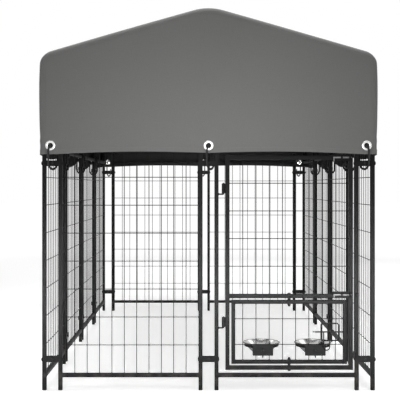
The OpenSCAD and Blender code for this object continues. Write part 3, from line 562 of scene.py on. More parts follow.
class Form:
    """Builds the mesh of one piece, in metres in the shared frame."""

    def __init__(self):
        self.bm = bmesh.new()

    def skin(self, a, b):
        """Faces between two rows of vertices; a row of one is a tip."""
        n = max(len(a), len(b))
        for i in range(n):
            j = (i + 1) % n
            low = [a[i], a[j]] if len(a) > 1 else [a[0]]
            high = [b[j], b[i]] if len(b) > 1 else [b[0]]
            self.bm.faces.new(low + high)

    def loft(self, rings, loop=False):
        """Skins rings of equal length; loop joins the last to the first, else both are closed."""
        rows = [[self.bm.verts.new(p) for p in ring] for ring in rings]
        for a, b in zip(rows, rows[1:]):
            self.skin(a, b)
        if loop:
            self.skin(rows[-1], rows[0])
        else:
            for row, way in ((rows[0], -1), (rows[-1], 1)):
                if len(row) > 2:
                    self.bm.faces.new(row[::way])

    def sweep(self, path, section, loop=False, up=None, domed=False):
        """Carries a section along a path; up is square to a flat path, domed rounds its ends."""
        points = [Vector(p) for p in path]
        n = len(points)
        side = None
        rings = []
        for i, p in enumerate(points):
            before = points[i - 1] if i or loop else p
            after = points[(i + 1) % n] if i < n - 1 or loop else p
            along = (after - before).normalized()
            if side is None:
                aim = up or Vector((0, 0, 1) if abs(along.z) < 0.9 else (1, 0, 0))
                side = along.cross(aim).normalized()
            else:
                side = (side - along * side.dot(along)).normalized()
            lift = side.cross(along)
            ring = [p + side * u + lift * v for u, v in section]
            if domed and i in (0, n - 1):
                reach = along * section[0][0] * (-1 if i == 0 else 1)
                tips = [[p + (q - p) * math.cos(a) + reach * math.sin(a) for q in ring]
                        for a in (0.5, 1.0, 1.4)]
                rings += tips[::-1] + [ring] if i == 0 else [ring] + tips
            else:
                rings.append(ring)
        self.loft(rings, loop)

    def lathe(self, profile, place, n=20, closed=False):
        """Turns a profile of (radius, height) about the local Z of a place."""
        rows = []
        for r, z in profile:
            ring = [(0, 0)] if r < 1e-7 else disc(2 * r, n)
            rows.append([self.bm.verts.new(place @ Vector((x, y, z))) for x, y in ring])
        for a, b in zip(rows, rows[1:] + (rows[:1] if closed else [])):
            if len(a) + len(b) > 2:
                self.skin(a, b)

    def slab(self, outline, thick, place, edge):
        """Plate with softened edges: an outline in the local XY plane, thick along Z."""
        small = inset(outline, edge)
        rings = ((small, 0), (outline, edge), (outline, thick - edge), (small, thick))
        self.loft([[place @ Vector((p[0], p[1], z)) for p in ring] for ring, z in rings])

    def rod(self, start, end, d, n=8):
        """Straight round wire."""
        self.sweep([start, end], disc(d, n))

    def tube(self, start, end, width):
        """Square tube with rounded corners."""
        self.sweep([start, end], rounded_rect(width, width, sizes().corner))

    def weld(self, centre, along, width):
        """Bead round the end of a square tube."""
        place = Matrix.Translation(centre) @ Vector(along).to_track_quat("Z", "Y").to_matrix().to_4x4()
        ring = rounded_rect(width, width, sizes().corner, 4)
        self.sweep([place @ Vector((x, y, 0)) for x, y in ring], disc(sizes().bead, 6), loop=True)

    def rail(self, start, end, width):
        """Square tube welded between two others."""
        self.tube(start, end, width)
        along = Vector(end) - Vector(start)
        for spot in (start, end):
            self.weld(spot, along, width)

    def close(self):
        """Turns every face outward."""
        bmesh.ops.recalc_face_normals(self.bm, faces=self.bm.faces[:])

    def mesh(self, name):
        """Ends the form as a mesh."""
        mesh = bpy.data.meshes.new(name)
        self.bm.to_mesh(mesh)
        self.bm.free()
        return mesh

    def drill(self, holes):
        """Cuts another form's shapes out of what is there so far."""
        self.close()
        solid = shown("drilled", self.mesh("drilled"))
        made = cut_out(solid, holes)
        bpy.data.meshes.remove(solid.data)
        self.bm = bmesh.new()
        self.bm.from_mesh(made)
        bpy.data.meshes.remove(made)

    def weave(self, spot):
        """Maps the form as cloth; spot gives a point's place on it in metres."""
        layer = self.bm.loops.layers.uv.new("Weave")
        for face in self.bm.faces:
            for loop in face.loops:
                loop[layer].uv = spot(loop.vert.co)

    def piece(self, name, finish_name, body, nodes=(), slot=None, sharp=38):
        """Ends the form as a piece that rides on a body."""
        self.close()
        mesh = soften(self.mesh(name), sharp)
        mesh.materials.append(finish(finish_name))
        return as_piece(shown(name, mesh), body, nodes)


def as_piece(obj, body, nodes):
    """Tells the frame what an object is."""
    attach(obj, body)
    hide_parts(*nodes)
    return obj


def panel_place(name):
    """Where a panel sits: local X along it, -Y outward."""
    low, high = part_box(name + "_frame")
    mid, size = (low + high) / 2, high - low
    if size.x > size.y:
        turn = 0 if mid.y < 0 else math.pi
    else:
        turn = math.copysign(math.pi / 2, mid.x)
    return Matrix.Translation((mid.x, mid.y, 0)) @ Matrix.Rotation(turn, 4, "Z")


def leg_spots():
    """The foot of every panel leg."""
    return [panel_place(n) @ Vector((s * PANEL_W / 2, 0, 0)) for n in ALL_PANELS for s in (-1, 1)]


def carries_post(spot):
    """Whether a roof post stands on the leg at this spot."""
    return abs(abs(spot.x) - SIDE_X) < 0.001 and any(abs(y - spot.y) < 0.001 for y in ROOF_Y)


def stations():
    """Where two panels meet, with local -Y outward."""
    steps = (-BAY, 0, BAY)
    spots = [(x, -FRONT_Y, 0) for x in steps] + [(x, FRONT_Y, math.pi) for x in steps]
    spots += [(-SIDE_X, y, -math.pi / 2) for y in steps] + [(SIDE_X, y, math.pi / 2) for y in steps]
    return [Matrix.Translation((x, y, 0)) @ Matrix.Rotation(a, 4, "Z") for x, y, a in spots]


def eyelet_spots():
    """Stations moved to the eyelets, which are nearer the corners at the front and the back."""
    spots = []
    for place in stations():
        at = place.translation
        end = math.copysign(1, at.x) if abs(at.x) > 0.01 and abs(at.y) > FRONT_Y - 0.01 else 0
        lean = -end * place[0][0] if end else 1
        spots.append((Matrix.Translation((end * EYELET_SHIFT, 0, 0)) @ place, lean))
    return spots


def rail_heights():
    """Middles of a panel's lower and upper rail."""
    low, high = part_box("front_left_panel_mesh")
    return low.z - WELD_GAP - TUBE / 2, high.z + WELD_GAP + TUBE / 2


def spread(n, width):
    """Places of n wires spread evenly over a width, from its middle."""
    return [(i / (n + 1) - 0.5) * width for i in range(1, n + 1)]


def wire_grid(form, place, width, height, columns, rows):
    """Welded wires: uprights in front of level ones, with a weld at each end and crossing."""
    end = [(r * WIRE_D, z * WIRE_D) for r, z in ((0, 0), (0.86, 0), (0.74, 0.36), (0.52, 0.66), (0, 0.7))]
    spot = [(r * WIRE_D, z * WIRE_D) for r, z in ((0, -0.6), (0.62, -0.25), (0.62, 0.25), (0, 0.6))]
    wires = [((x, -WIRE_OFF, 0), (0, 0, 1), height) for x in columns]
    wires += [((0, WIRE_OFF, z), (1, 0, 0), width) for z in rows]
    for middle, aim, span in wires:
        aim = Vector(aim)
        ends = [Vector(middle) + aim * s * span / 2 for s in (-1, 1)]
        form.rod(place @ ends[0], place @ ends[1], WIRE_D)
        for point, s in zip(ends, (1, -1)):
            turn = (aim * s).to_track_quat("Z", "Y").to_matrix().to_4x4()
            form.lathe(end, place @ Matrix.Translation(point) @ turn, 8)
    for x in columns:
        for z in rows:
            form.lathe(spot, place @ upright(x, 0, z), 6)


class KENNEL_OT_panels(bpy.types.Operator):
    """Adds the welded tube frames of the twelve panels"""

    bl_idname = "kennel.panels"
    bl_label = "Panel frames"

    def execute(self, context):
        low, high = rail_heights()
        half = PANEL_W / 2
        for name in ALL_PANELS:
            place = panel_place(name)
            form = Form()
            for s in (-1, 1):
                ends = [place @ Vector((s * half, 0, z)) for z in (PLUG_T, LEG_TOP)]
                form.tube(*ends, TUBE)
            for z in (low, high):
                ends = [place @ Vector((s * (half - TUBE / 2), 0, z)) for s in (-1, 1)]
                form.rail(*ends, TUBE)
            form.piece(name + "_tubes", "frame_paint", "run", [name + "_frame"])
        return {"FINISHED"}


class KENNEL_OT_wires(bpy.types.Operator):
    """Adds the welded wires of the panels, the door and the feeder"""

    bl_idname = "kennel.wires"
    bl_label = "Welded wires"

    def execute(self, context):
        low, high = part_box("front_left_panel_mesh")
        width, height = PANEL_W - TUBE, high.z - low.z + 2 * WELD_GAP
        for name in PLAIN_PANELS:
            form = Form()
            place = panel_place(name) @ Matrix.Translation((0, 0, (low.z + high.z) / 2))
            wire_grid(form, place, width, height, spread(10, width), spread(7, height))
            form.piece(name + "_wires", "wire_paint", "run", [name + "_mesh"])
        for name in ("door", "feeder"):
            low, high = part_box(name + "_mesh")
            size = high - low + Vector((1, 1, 1)) * 2 * WELD_GAP
            rows = [-FEEDER_ROW, FEEDER_ROW]
            if name == "door":
                columns = spread(8, size.x)
                rows = [k * DOOR_ROW - size.z / 2 for k in range(1, 5)]
            form = Form()
            wire_grid(form, Matrix.Translation((low + high) / 2), size.x, size.z, columns, rows)
            form.piece(name + "_wires", "wire_paint", name, [name + "_mesh"])
        return {"FINISHED"}


class KENNEL_OT_plugs(bpy.types.Operator):
    """Adds the plastic feet and caps of the legs"""

    bl_idname = "kennel.plugs"
    bl_label = "Feet and caps"

    def execute(self, context):
        outline = rounded_rect(TUBE, TUBE, sizes().corner * 1.15)
        feet, caps = Form(), Form()
        for spot in leg_spots():
            feet.slab(outline, PLUG_T, Matrix.Translation(spot), sizes().edge)
            if not carries_post(spot):
                top = spot + Vector((0, 0, LEG_TOP))
                caps.slab(outline, PLUG_T, Matrix.Translation(top), sizes().edge)
        feet.piece("feet", "plugs", "run", ["leg_feet"])
        caps.piece("caps", "plugs", "run", ["leg_caps"])
        return {"FINISHED"}


def domed_head(d, h):
    """Profile of a round bolt head on a face at height 0."""
    r = d / 2
    return [(0, -0.0002), (r, -0.0002), (r, 0.25 * h), (0.93 * r, 0.52 * h),
            (0.72 * r, 0.8 * h), (0.4 * r, 0.96 * h), (0, h)]


def hex_nut(form, place, d, h):
    """Hexagon nut with chamfered corners, from height 0."""
    rings = ((0.93, 0.0), (1.0, 0.12 * h), (1.0, 0.86 * h), (0.9, h))
    form.loft([[place @ Vector((x * k, y * k, z)) for x, y in disc(d, 6)] for k, z in rings])


def bolt_shank(d, start, end):
    """Profile of a plain bolt with a chamfered end."""
    r = d / 2
    return [(0, start), (r, start), (r, end - 0.0008), (0.8 * r, end), (0, end)]


class KENNEL_OT_clamps(bpy.types.Operator):
    """Adds the clamp straps, bolts and nuts that join the panels"""

    bl_idname = "kennel.clamps"
    bl_label = "Clamps"

    def execute(self, context):
        outer, inner, bolts, nuts = Form(), Form(), Form(), Form()
        low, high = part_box("clamp_outer_straps")
        outline = rounded_rect(CLAMP_SPAN + CLAMP_H, CLAMP_H, 0.49 * CLAMP_H, 8)
        face = TUBE / 2 + CLAMP_T
        turn = Matrix.Rotation(math.pi, 4, "Z")
        for station in stations():
            for z in (low.z + CLAMP_H / 2, high.z - CLAMP_H / 2):
                for form, side in ((outer, station), (inner, station @ turn)):
                    form.slab(outline, CLAMP_T, side @ upright(0, -TUBE / 2, z), sizes().edge)
                place = station @ upright(0, -face, z)
                bolts.lathe(domed_head(CLAMP_HEAD_D, 0.0035), place)
                bolts.lathe(bolt_shank(CLAMP_BOLT_D, 0, 2 * face + 0.007), place @ OVER, 14)
                place = station @ turn @ upright(0, -face, z)
                hex_nut(nuts, place, NUT_WIDTH * CLAMP_BOLT_D, 0.005)
        outer.piece("outer_straps", "frame_paint", "run", ["clamp_outer_straps"])
        inner.piece("inner_straps", "frame_paint", "run", ["clamp_inner_straps"])
        bolts.piece("strap_bolts", "fasteners", "run", ["clamp_bolts"])
        nuts.piece("strap_nuts", "fasteners", "run", ["clamp_nuts"])
        return {"FINISHED"}


def welded_frame(low, high, width, rails, play, depth):
    """Two stiles and rails; the right stile has a hole of this play and depth for the feeder's rod."""
    y, half, lead = (low.y + high.y) / 2, width / 2, 0.001
    form, hole = Form(), Form()
    for x in (low.x + half, high.x - half):
        form.tube((x, y, low.z), (x, y, high.z), width)
    guide_low, guide_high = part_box("feeder_latch_guide")
    place = along_x(high.x - width - lead, -FRONT_Y - ROD_FRONT, (guide_low.z + guide_high.z) / 2)
    r, reach = ROD_D / 2 + play, depth + lead
    hole.lathe([(0, 0), (r, 0), (r, reach), (0, reach)], place, 16)
    form.drill(hole)
    for z in rails:
        form.rail((low.x + width, y, z), (high.x - width, y, z), width)
    return form


class KENNEL_OT_door(bpy.types.Operator):
    """Adds the door frame and its hinges"""

    bl_idname = "kennel.door"
    bl_label = "Door and hinges"

    def execute(self, context):
        low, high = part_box("door_frame")
        half = TUBE / 2
        rails = (low.z + half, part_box("door_mesh")[0].z - WELD_GAP - half, high.z - half)
        form = welded_frame(low, high, TUBE, rails, 0.0004, TUBE - 0.003)
        form.piece("door_tubes", "frame_paint", "door", ["door_frame"])
        y, stile = (low.y + high.y) / 2, low.x
        low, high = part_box("hinge_sleeves")
        x, r = (low.x + high.x) / 2, (high.x - low.x) / 2
        bore = HINGE_PIN_D / 2 + 0.00005
        wall = [(bore, 0), (r - 0.0008, 0), (r, 0.0008), (r, SLEEVE_L - 0.0008),
                (r - 0.0008, SLEEVE_L), (bore, SLEEVE_L)]
        form = Form()
        for z in (low.z, high.z - SLEEVE_L):
            form.lathe(wall, Matrix.Translation((x, y, z)), 28, closed=True)
            for s in (-1, 1):
                crease = (stile - 0.0012, y + s * 0.0046)
                ends = [Vector((*crease, z + d)) for d in (0.004, SLEEVE_L - 0.004)]
                form.sweep(ends, disc(0.0034, 8), domed=True)
        form.piece("door_hinge_sleeves", "frame_paint", "door", ["hinge_sleeves"])
        low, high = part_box("hinge_pins")
        rise = SLEEVE_L + HINGE_PIN_D
        form = Form()
        for z in (low.z + HINGE_PIN_D / 2, high.z - rise):
            route = bent([(low.x - 0.001, y, z), (x, y, z), (x, y, z + rise)], 0.003)
            form.sweep(route, disc(HINGE_PIN_D, 14))
            weld = [(0, -0.001), (0.0052, 0), (0.0036, 0.0022), (0.0028, 0.003)]
            form.lathe(weld, along_x(low.x, y, z), 16)
        form.piece("door_hinge_pins", "frame_paint", "run", ["hinge_pins"])
        return {"FINISHED"}


def saddle(form, x, y, z, base, width):
    """Strap bent over a latch rod at y and z, with its feet on a face at base."""
    t, foot = 0.0014, 0.005
    r = LATCH_ROD_D / 2 + ROD_PLAY + t / 2
    back = base - t / 2
    route = [(x, back, z + r + foot), (x, back, z + r), (x, y - r, z + r),
             (x, y - r, z - r), (x, back, z - r), (x, back, z - r - foot)]
    form.sweep(bent(route, 0.0022, 5), rounded_rect(t, width, 0.0003, 1), up=Vector((1, 0, 0)))


class KENNEL_OT_latches(bpy.types.Operator):
    """Adds the door's two slide latches and their keepers"""

    bl_idname = "kennel.latches"
    bl_label = "Door latches"

    def execute(self, context):
        keepers = Form()
        keep_low, keep_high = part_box("latch_keepers")
        keep_x = (keep_low.x + keep_high.x) / 2
        for level in ("upper", "lower"):
            low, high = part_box(level + "_latch_bolt")
            r = LATCH_ROD_D / 2
            y, z = low.y + r, high.z - r
            plate_low, plate_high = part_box(level + "_latch_plate")
            face = -FRONT_Y - TUBE / 2
            place = upright((plate_low.x + plate_high.x) / 2, face, z)
            form = Form()
            outline = rounded_rect(plate_high.x - plate_low.x, LATCH_PLATE_H, 0.003, 4)
            form.slab(outline, LATCH_PLATE_T, place, sizes().edge)
            base = face - LATCH_PLATE_T
            for guide in LATCH_GUIDE_X:
                saddle(form, low.x + guide, y, z, base, LATCH_GUIDE_W)
                for rise in (-RIVET_RISE, RIVET_RISE):
                    place = upright(low.x + guide - RIVET_STEP, base, z + rise)
                    form.lathe(domed_head(RIVET_D, 0.0012), place, 12)
            form.piece(level + "_latch_base", "frame_paint", "door", [level + "_latch_plate"])
            form = Form()
            length = high.x - low.x
            profile = [(0, 0), (r - 0.0012, 0), (r - 0.0003, 0.0004), (r, 0.0012),
                       (r, length - 0.003), (r - 0.0006, length - 0.0012), (r - 0.002, length - 0.0002),
                       (0, length)]
            form.lathe(profile, along_x(low.x, y, z), 20)
            x, end = low.x + LEVER_D / 2, low.z + LEVER_D / 2
            form.sweep([(x, y, z - 0.002), (x, y, end)], disc(LEVER_D, 12), domed=True)
            form.piece(level + "_latch_rod", "rod_zinc", level + "_bolt", [level + "_latch_bolt"],
                       "fasteners")
            saddle(keepers, keep_x, y, z, face, keep_high.x - keep_low.x)
        keepers.piece("latch_keeper_straps", "frame_paint", "run", ["latch_keepers"])
        return {"FINISHED"}


class KENNEL_OT_feeder(bpy.types.Operator):
    """Adds the turning feeder's frame, pivots and latch"""

    bl_idname = "kennel.feeder"
    bl_label = "Feeder"

    def execute(self, context):
        low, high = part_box("feeder_frame")
        width = high.y - low.y
        rails = (low.z + width / 2, high.z - width / 2)
        form = welded_frame(low, high, width, rails, ROD_PLAY, width + 0.001)
        form.piece("feeder_tubes", "frame_paint", "feeder", ["feeder_frame"])
        self.pivots()
        self.latch()
        return {"FINISHED"}

    def pivots(self):
        """Bolts, spacers and cone nuts at the bottom and the top."""
        low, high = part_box("pivot_bolts")
        x, y = (low.x + high.x) / 2, (low.y + high.y) / 2
        bore, r, gap = PIVOT_BORE_R, SPACER_R, FEEDER_GAP
        spacer = [(bore, 0), (r, 0), (r, 0.0012), (r - 0.0012, 0.0022), (r - 0.0012, gap - 0.0026),
                  (r, gap - 0.0016), (r, gap - 0.0004), (bore, gap - 0.0004)]
        cone = [(bore, 0), (r, 0), (r, 0.002), (0.0058, 0.0052), (0.005, 0.0075), (0.0044, 0.008),
                (bore, 0.008)]
        bolts, spacers, nuts = Form(), Form(), Form()
        for place in (Matrix.Translation((x, y, low.z + PIVOT_HEAD)),
                      Matrix.Translation((x, y, high.z - PIVOT_HEAD)) @ OVER):
            hex_nut(bolts, place @ Matrix.Translation((0, 0, -PIVOT_HEAD)), 2 * SPACER_R, PIVOT_HEAD)
            bolts.lathe(bolt_shank(PIVOT_D, 0, PIVOT_L), place, 16)
            for form, profile, rest in ((spacers, spacer, 0.0002), (nuts, cone, gap + 0.01515)):
                form.lathe(profile, place @ Matrix.Translation((0, 0, TUBE + rest)), 24, closed=True)
        bolts.piece("feeder_pivot_bolts", "fasteners", "door", ["pivot_bolts"])
        spacers.piece("feeder_pivot_spacers", "fasteners", "door", ["pivot_spacers"])
        nuts.piece("feeder_pivot_nuts", "fasteners", "door", ["pivot_nuts"])

    def latch(self):
        """Bent guide on the mesh, and the rod with its drop handle."""
        low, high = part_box("feeder_latch_guide")
        mid, size = (low + high) / 2, high - low
        form = Form()
        ring = rounded_rect(size.x - GUIDE_BAR, size.z - GUIDE_BAR, 0.007, 5)
        route = [mid + Vector((u, 0, v)) for u, v in ring]
        section = rounded_rect(GUIDE_BAR, size.y, 0.0009, 2)
        form.sweep(route, section, loop=True, up=Vector((0, 1, 0)))
        form.piece("feeder_rod_guide", "frame_paint", "feeder", ["feeder_latch_guide"])
        rod_z = mid.z
        low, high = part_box("feeder_latch_bolt")
        r, length = ROD_D / 2, high.x - low.x
        back = -FRONT_Y - ROD_FRONT
        form = Form()
        profile = [(0, 0), (r - 0.001, 0), (r - 0.0003, 0.0004), (r, 0.001), (r, length - 0.0018),
                   (r - 0.0008, length - 0.0004), (r - 0.0016, length), (0, length)]
        form.lathe(profile, along_x(low.x, back, rod_z), 16)
        front = low.y + HANDLE_D / 2
        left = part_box("feeder_latch_guide")[0].x + HANDLE_SHIFT + HANDLE_D / 2
        right, bottom = left + HANDLE_W, low.z + HANDLE_D / 2
        knee, bend = bottom + 0.012, 0.003
        top = bent([(left, back, rod_z), (left, front, rod_z), (left, front, knee)], bend)
        end = bent([(right, front, knee), (right, front, rod_z), (right, back, rod_z)], bend)
        turn = bent([top[-1], (left, front, bottom), (right, front, bottom), end[0]], 0.01149)
        form.sweep(top[:-1] + turn + end[1:], disc(HANDLE_D, 12))
        form.piece("feeder_latch_rod", "frame_paint", "feeder_bolt", ["feeder_latch_bolt"], "fasteners")


class KENNEL_OT_bowls(bpy.types.Operator):
    """Adds the bowls, their holders, front plates and screws"""

    bl_idname = "kennel.bowls"
    bl_label = "Bowls and holders"

    def execute(self, context):
        holders, plates, screws = Form(), Form(), Form()
        plate_low, plate_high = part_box("bowl_plates")
        hold_low, hold_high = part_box("bowl_holders")
        bottom = plate_low.z + PEG_L
        for side, x in zip(("left", "right"), bowl_middles()):
            low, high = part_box(side + "_bowl")
            middle = Vector((x, (low.y + high.y) / 2, low.z))
            form = Form()
            form.lathe(self.bowl(bowl_radius() - BOWL_BEAD_R, high.z - low.z),
                       Matrix.Translation(middle), 72)
            form.piece(side + "_steel_bowl", "bowl_steel", "bowl_" + side, [side + "_bowl"], sharp=60)
            ring_z = hold_high.z - RING_D / 2
            ring_r = hold_high.y - RING_D / 2 - middle.y
            rim = [(ring_r + u, v) for u, v in disc(RING_D, 12)]
            holders.lathe(rim, Matrix.Translation((x, middle.y, ring_z)), 56, closed=True)
            self.tab(holders, x, hold_low, middle.y - ring_r, ring_z, bottom)
            face = plate_high.y
            mid_z = (bottom + plate_high.z) / 2
            outline = rounded_rect(PLATE_W, plate_high.z - bottom, 0.0025, 3)
            plates.slab(outline, PLATE_T, upright(x, face, mid_z), sizes().edge)
            place = upright(x, face, bottom - PEG_L / 2 + 0.001)
            plates.slab(rounded_rect(0.005, PEG_L + 0.002, 0.0012), PLATE_T, place, sizes().edge)
            place = upright(x, face - PLATE_T, mid_z - 0.002)
            screws.lathe(domed_head(2 * SCREW_D, 0.003), place)
            behind = hold_low.y + PLATE_T - (face - PLATE_T)
            screws.lathe(bolt_shank(SCREW_D, 0, behind + 0.006), place @ OVER, 12)
            place = place @ OVER @ Matrix.Translation((0, 0, behind))
            hex_nut(screws, place, NUT_WIDTH * SCREW_D, 0.004)
        holders.piece("bowl_rings", "frame_paint", "feeder", ["bowl_holders"])
        plates.piece("bowl_front_plates", "frame_paint", "feeder", ["bowl_plates"])
        screws.piece("bowl_plate_screws", "fasteners", "feeder", ["bowl_screws"])
        return {"FINISHED"}

    def bowl(self, rim, height):
        """Profile of a sheet-steel bowl: raised floor, soft turn, straight side and rolled rim."""
        t, bead, floor = BOWL_T, BOWL_BEAD_R, BOWL_FLOOR_R
        top = height - bead
        slope = Vector((rim - floor, top)).normalized()

        def turned(shift, lift):
            corner = Vector((floor + shift, lift))
            a, b = corner - Vector((0.007, 0)), corner + slope * 0.007
            steps = [i / 6 for i in range(7)]
            return [tuple(a * (1 - s) ** 2 + corner * 2 * s * (1 - s) + b * s * s) for s in steps]

        outside = [(0, 0.0016), (0.018, 0.0016), (0.021, 0.0002), (0.023, 0)] + turned(0, 0)
        inside = [(0, 0.0016 + t), (0.018, 0.0016 + t), (0.021, 0.0002 + t), (0.0225, t)] + turned(-t, t)
        roll = []
        for i in range(13):
            a = math.radians(-75 + i * 255 / 12)
            roll.append((rim + bead * math.cos(a), top + bead * math.sin(a)))
        return outside + [(rim - 0.0006, top - 0.0024)] + roll + inside[::-1]

    def tab(self, form, x, low, ring_edge, ring_z, bottom):
        """Tab behind the mesh and the lug that joins it to the ring."""
        top = ring_z + RING_D / 2
        place = upright(x, low.y + PLATE_T, (bottom + PLATE_T + top) / 2)
        form.slab(rounded_rect(TAB_W, top - bottom - PLATE_T, 0.003), PLATE_T, place, sizes().edge)
        reach = ring_edge - low.y
        place = Matrix.Translation((x, low.y + reach / 2, ring_z - RING_D / 2 + 0.0005))
        form.slab(rounded_rect(LUG_W, reach, 0.001), RING_D - 0.001, place, sizes().edge)


class KENNEL_OT_roof(bpy.types.Operator):
    """Paints the roof tubes and adds the spring buttons at their joints"""

    bl_idname = "kennel.roof"
    bl_label = "Roof tubes"

    def execute(self, context):
        paint = finish("roof_paint")
        for name in ROOF_NODES:
            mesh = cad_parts[name].data
            mesh.materials.clear()
            mesh.materials.append(paint)
        buttons = Form()
        profile = domed_head(BUTTON_D, 0.0022)
        for y in ROOF_Y:
            for s in (-1, 1):
                spot = Matrix.Translation((s * (SIDE_X - BUTTON_IN), y, LEG_TOP + BUTTON_UP))
                buttons.lathe(profile, spot @ Matrix.Rotation(-s * math.pi / 2, 4, "Y"), 14)
        buttons.piece("post_buttons", "fasteners", "run")
        return {"FINISHED"}


# Cover: outline across the run, as the model has it
COVER_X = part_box("cover")[1].x
COVER_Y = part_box("cover")[1].y
RIDGE_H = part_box("cover")[1].z
RIDGE_PITCH = math.radians(15.6)
RIDGE_R = 0.2
BOW_R = 40.0
COVER_OFF = 0.0105
EAVE_R = 0.057
HEM_Z = 0.908
HEM_RISE = 0.0065
HEM_ARCH = 0.006
HEM_SAG = 0.03
HEM_END_SAG = 0.01
SEAM_W = 0.007
SEAM_T = 0.0011
# Soft shapes of the cloth: pitch of its folds, small waves, and creases that run from an eyelet
FOLD_PITCH = 0.19
WANDER = 0.0012
CREASE = 0.0016
CREASE_FADE = 0.12
CREASE_REACH = 0.4
HELD_R = 0.045
RIDGE_MID = Vector((0, RIDGE_H - COVER_OFF - RIDGE_R))
BOW_MID = RIDGE_MID - (BOW_R - RIDGE_R) * Vector((math.sin(RIDGE_PITCH), math.cos(RIDGE_PITCH)))
EAVE_REACH = BOW_R + COVER_OFF - EAVE_R
EAVE_RUN = COVER_X - EAVE_R - BOW_MID.x
EAVE_MID = Vector((COVER_X - EAVE_R, BOW_MID.y + math.sqrt(EAVE_REACH ** 2 - EAVE_RUN ** 2)))
EAVE_TURN = math.atan2(EAVE_MID.y - BOW_MID.y, EAVE_RUN)


def arc(middle, r, start, end, n):
    """Points on an arc, without its first."""
    turns = [start + (end - start) * i / n for i in range(1, n + 1)]
    return [middle + r * Vector((math.cos(a), math.sin(a))) for a in turns]


def top_outline(depth):
    """Right half of the cover's outline from the top of the wall to the ridge, set in by depth."""
    points = arc(EAVE_MID, EAVE_R - depth, 0, EAVE_TURN, 9)
    points += arc(BOW_MID, BOW_R + COVER_OFF - depth, EAVE_TURN, math.pi / 2 - RIDGE_PITCH, 22)
    return points + arc(RIDGE_MID, RIDGE_R + COVER_OFF - depth, math.pi / 2 - RIDGE_PITCH, math.pi / 2, 6)


def wall_heights(hem):
    """Heights of the rows of a wall whose hem is at this height."""
    first = [hem + sizes().hem * k / HEM_ROWS for k in range(HEM_ROWS + 1)]
    step = (EAVE_MID.y - first[-1]) / WALL_ROWS
    return first + [first[-1] + step * k for k in range(1, WALL_ROWS + 1)]


def front_hem(x):
    """Height of a gable's hem at x."""
    return HEM_Z + HEM_RISE * (1 - (x / COVER_X) ** 2) + HEM_ARCH * abs(math.sin(math.pi * x / BAY))


def side_hem(y):
    """Height of a side wall's hem at y."""
    rise = HEM_RISE * (1 - (y / COVER_Y) ** 8)
    sag = HEM_SAG if abs(y) < BAY else HEM_END_SAG
    return HEM_Z + rise - (sag + rise) * abs(math.sin(math.pi * y / BAY))


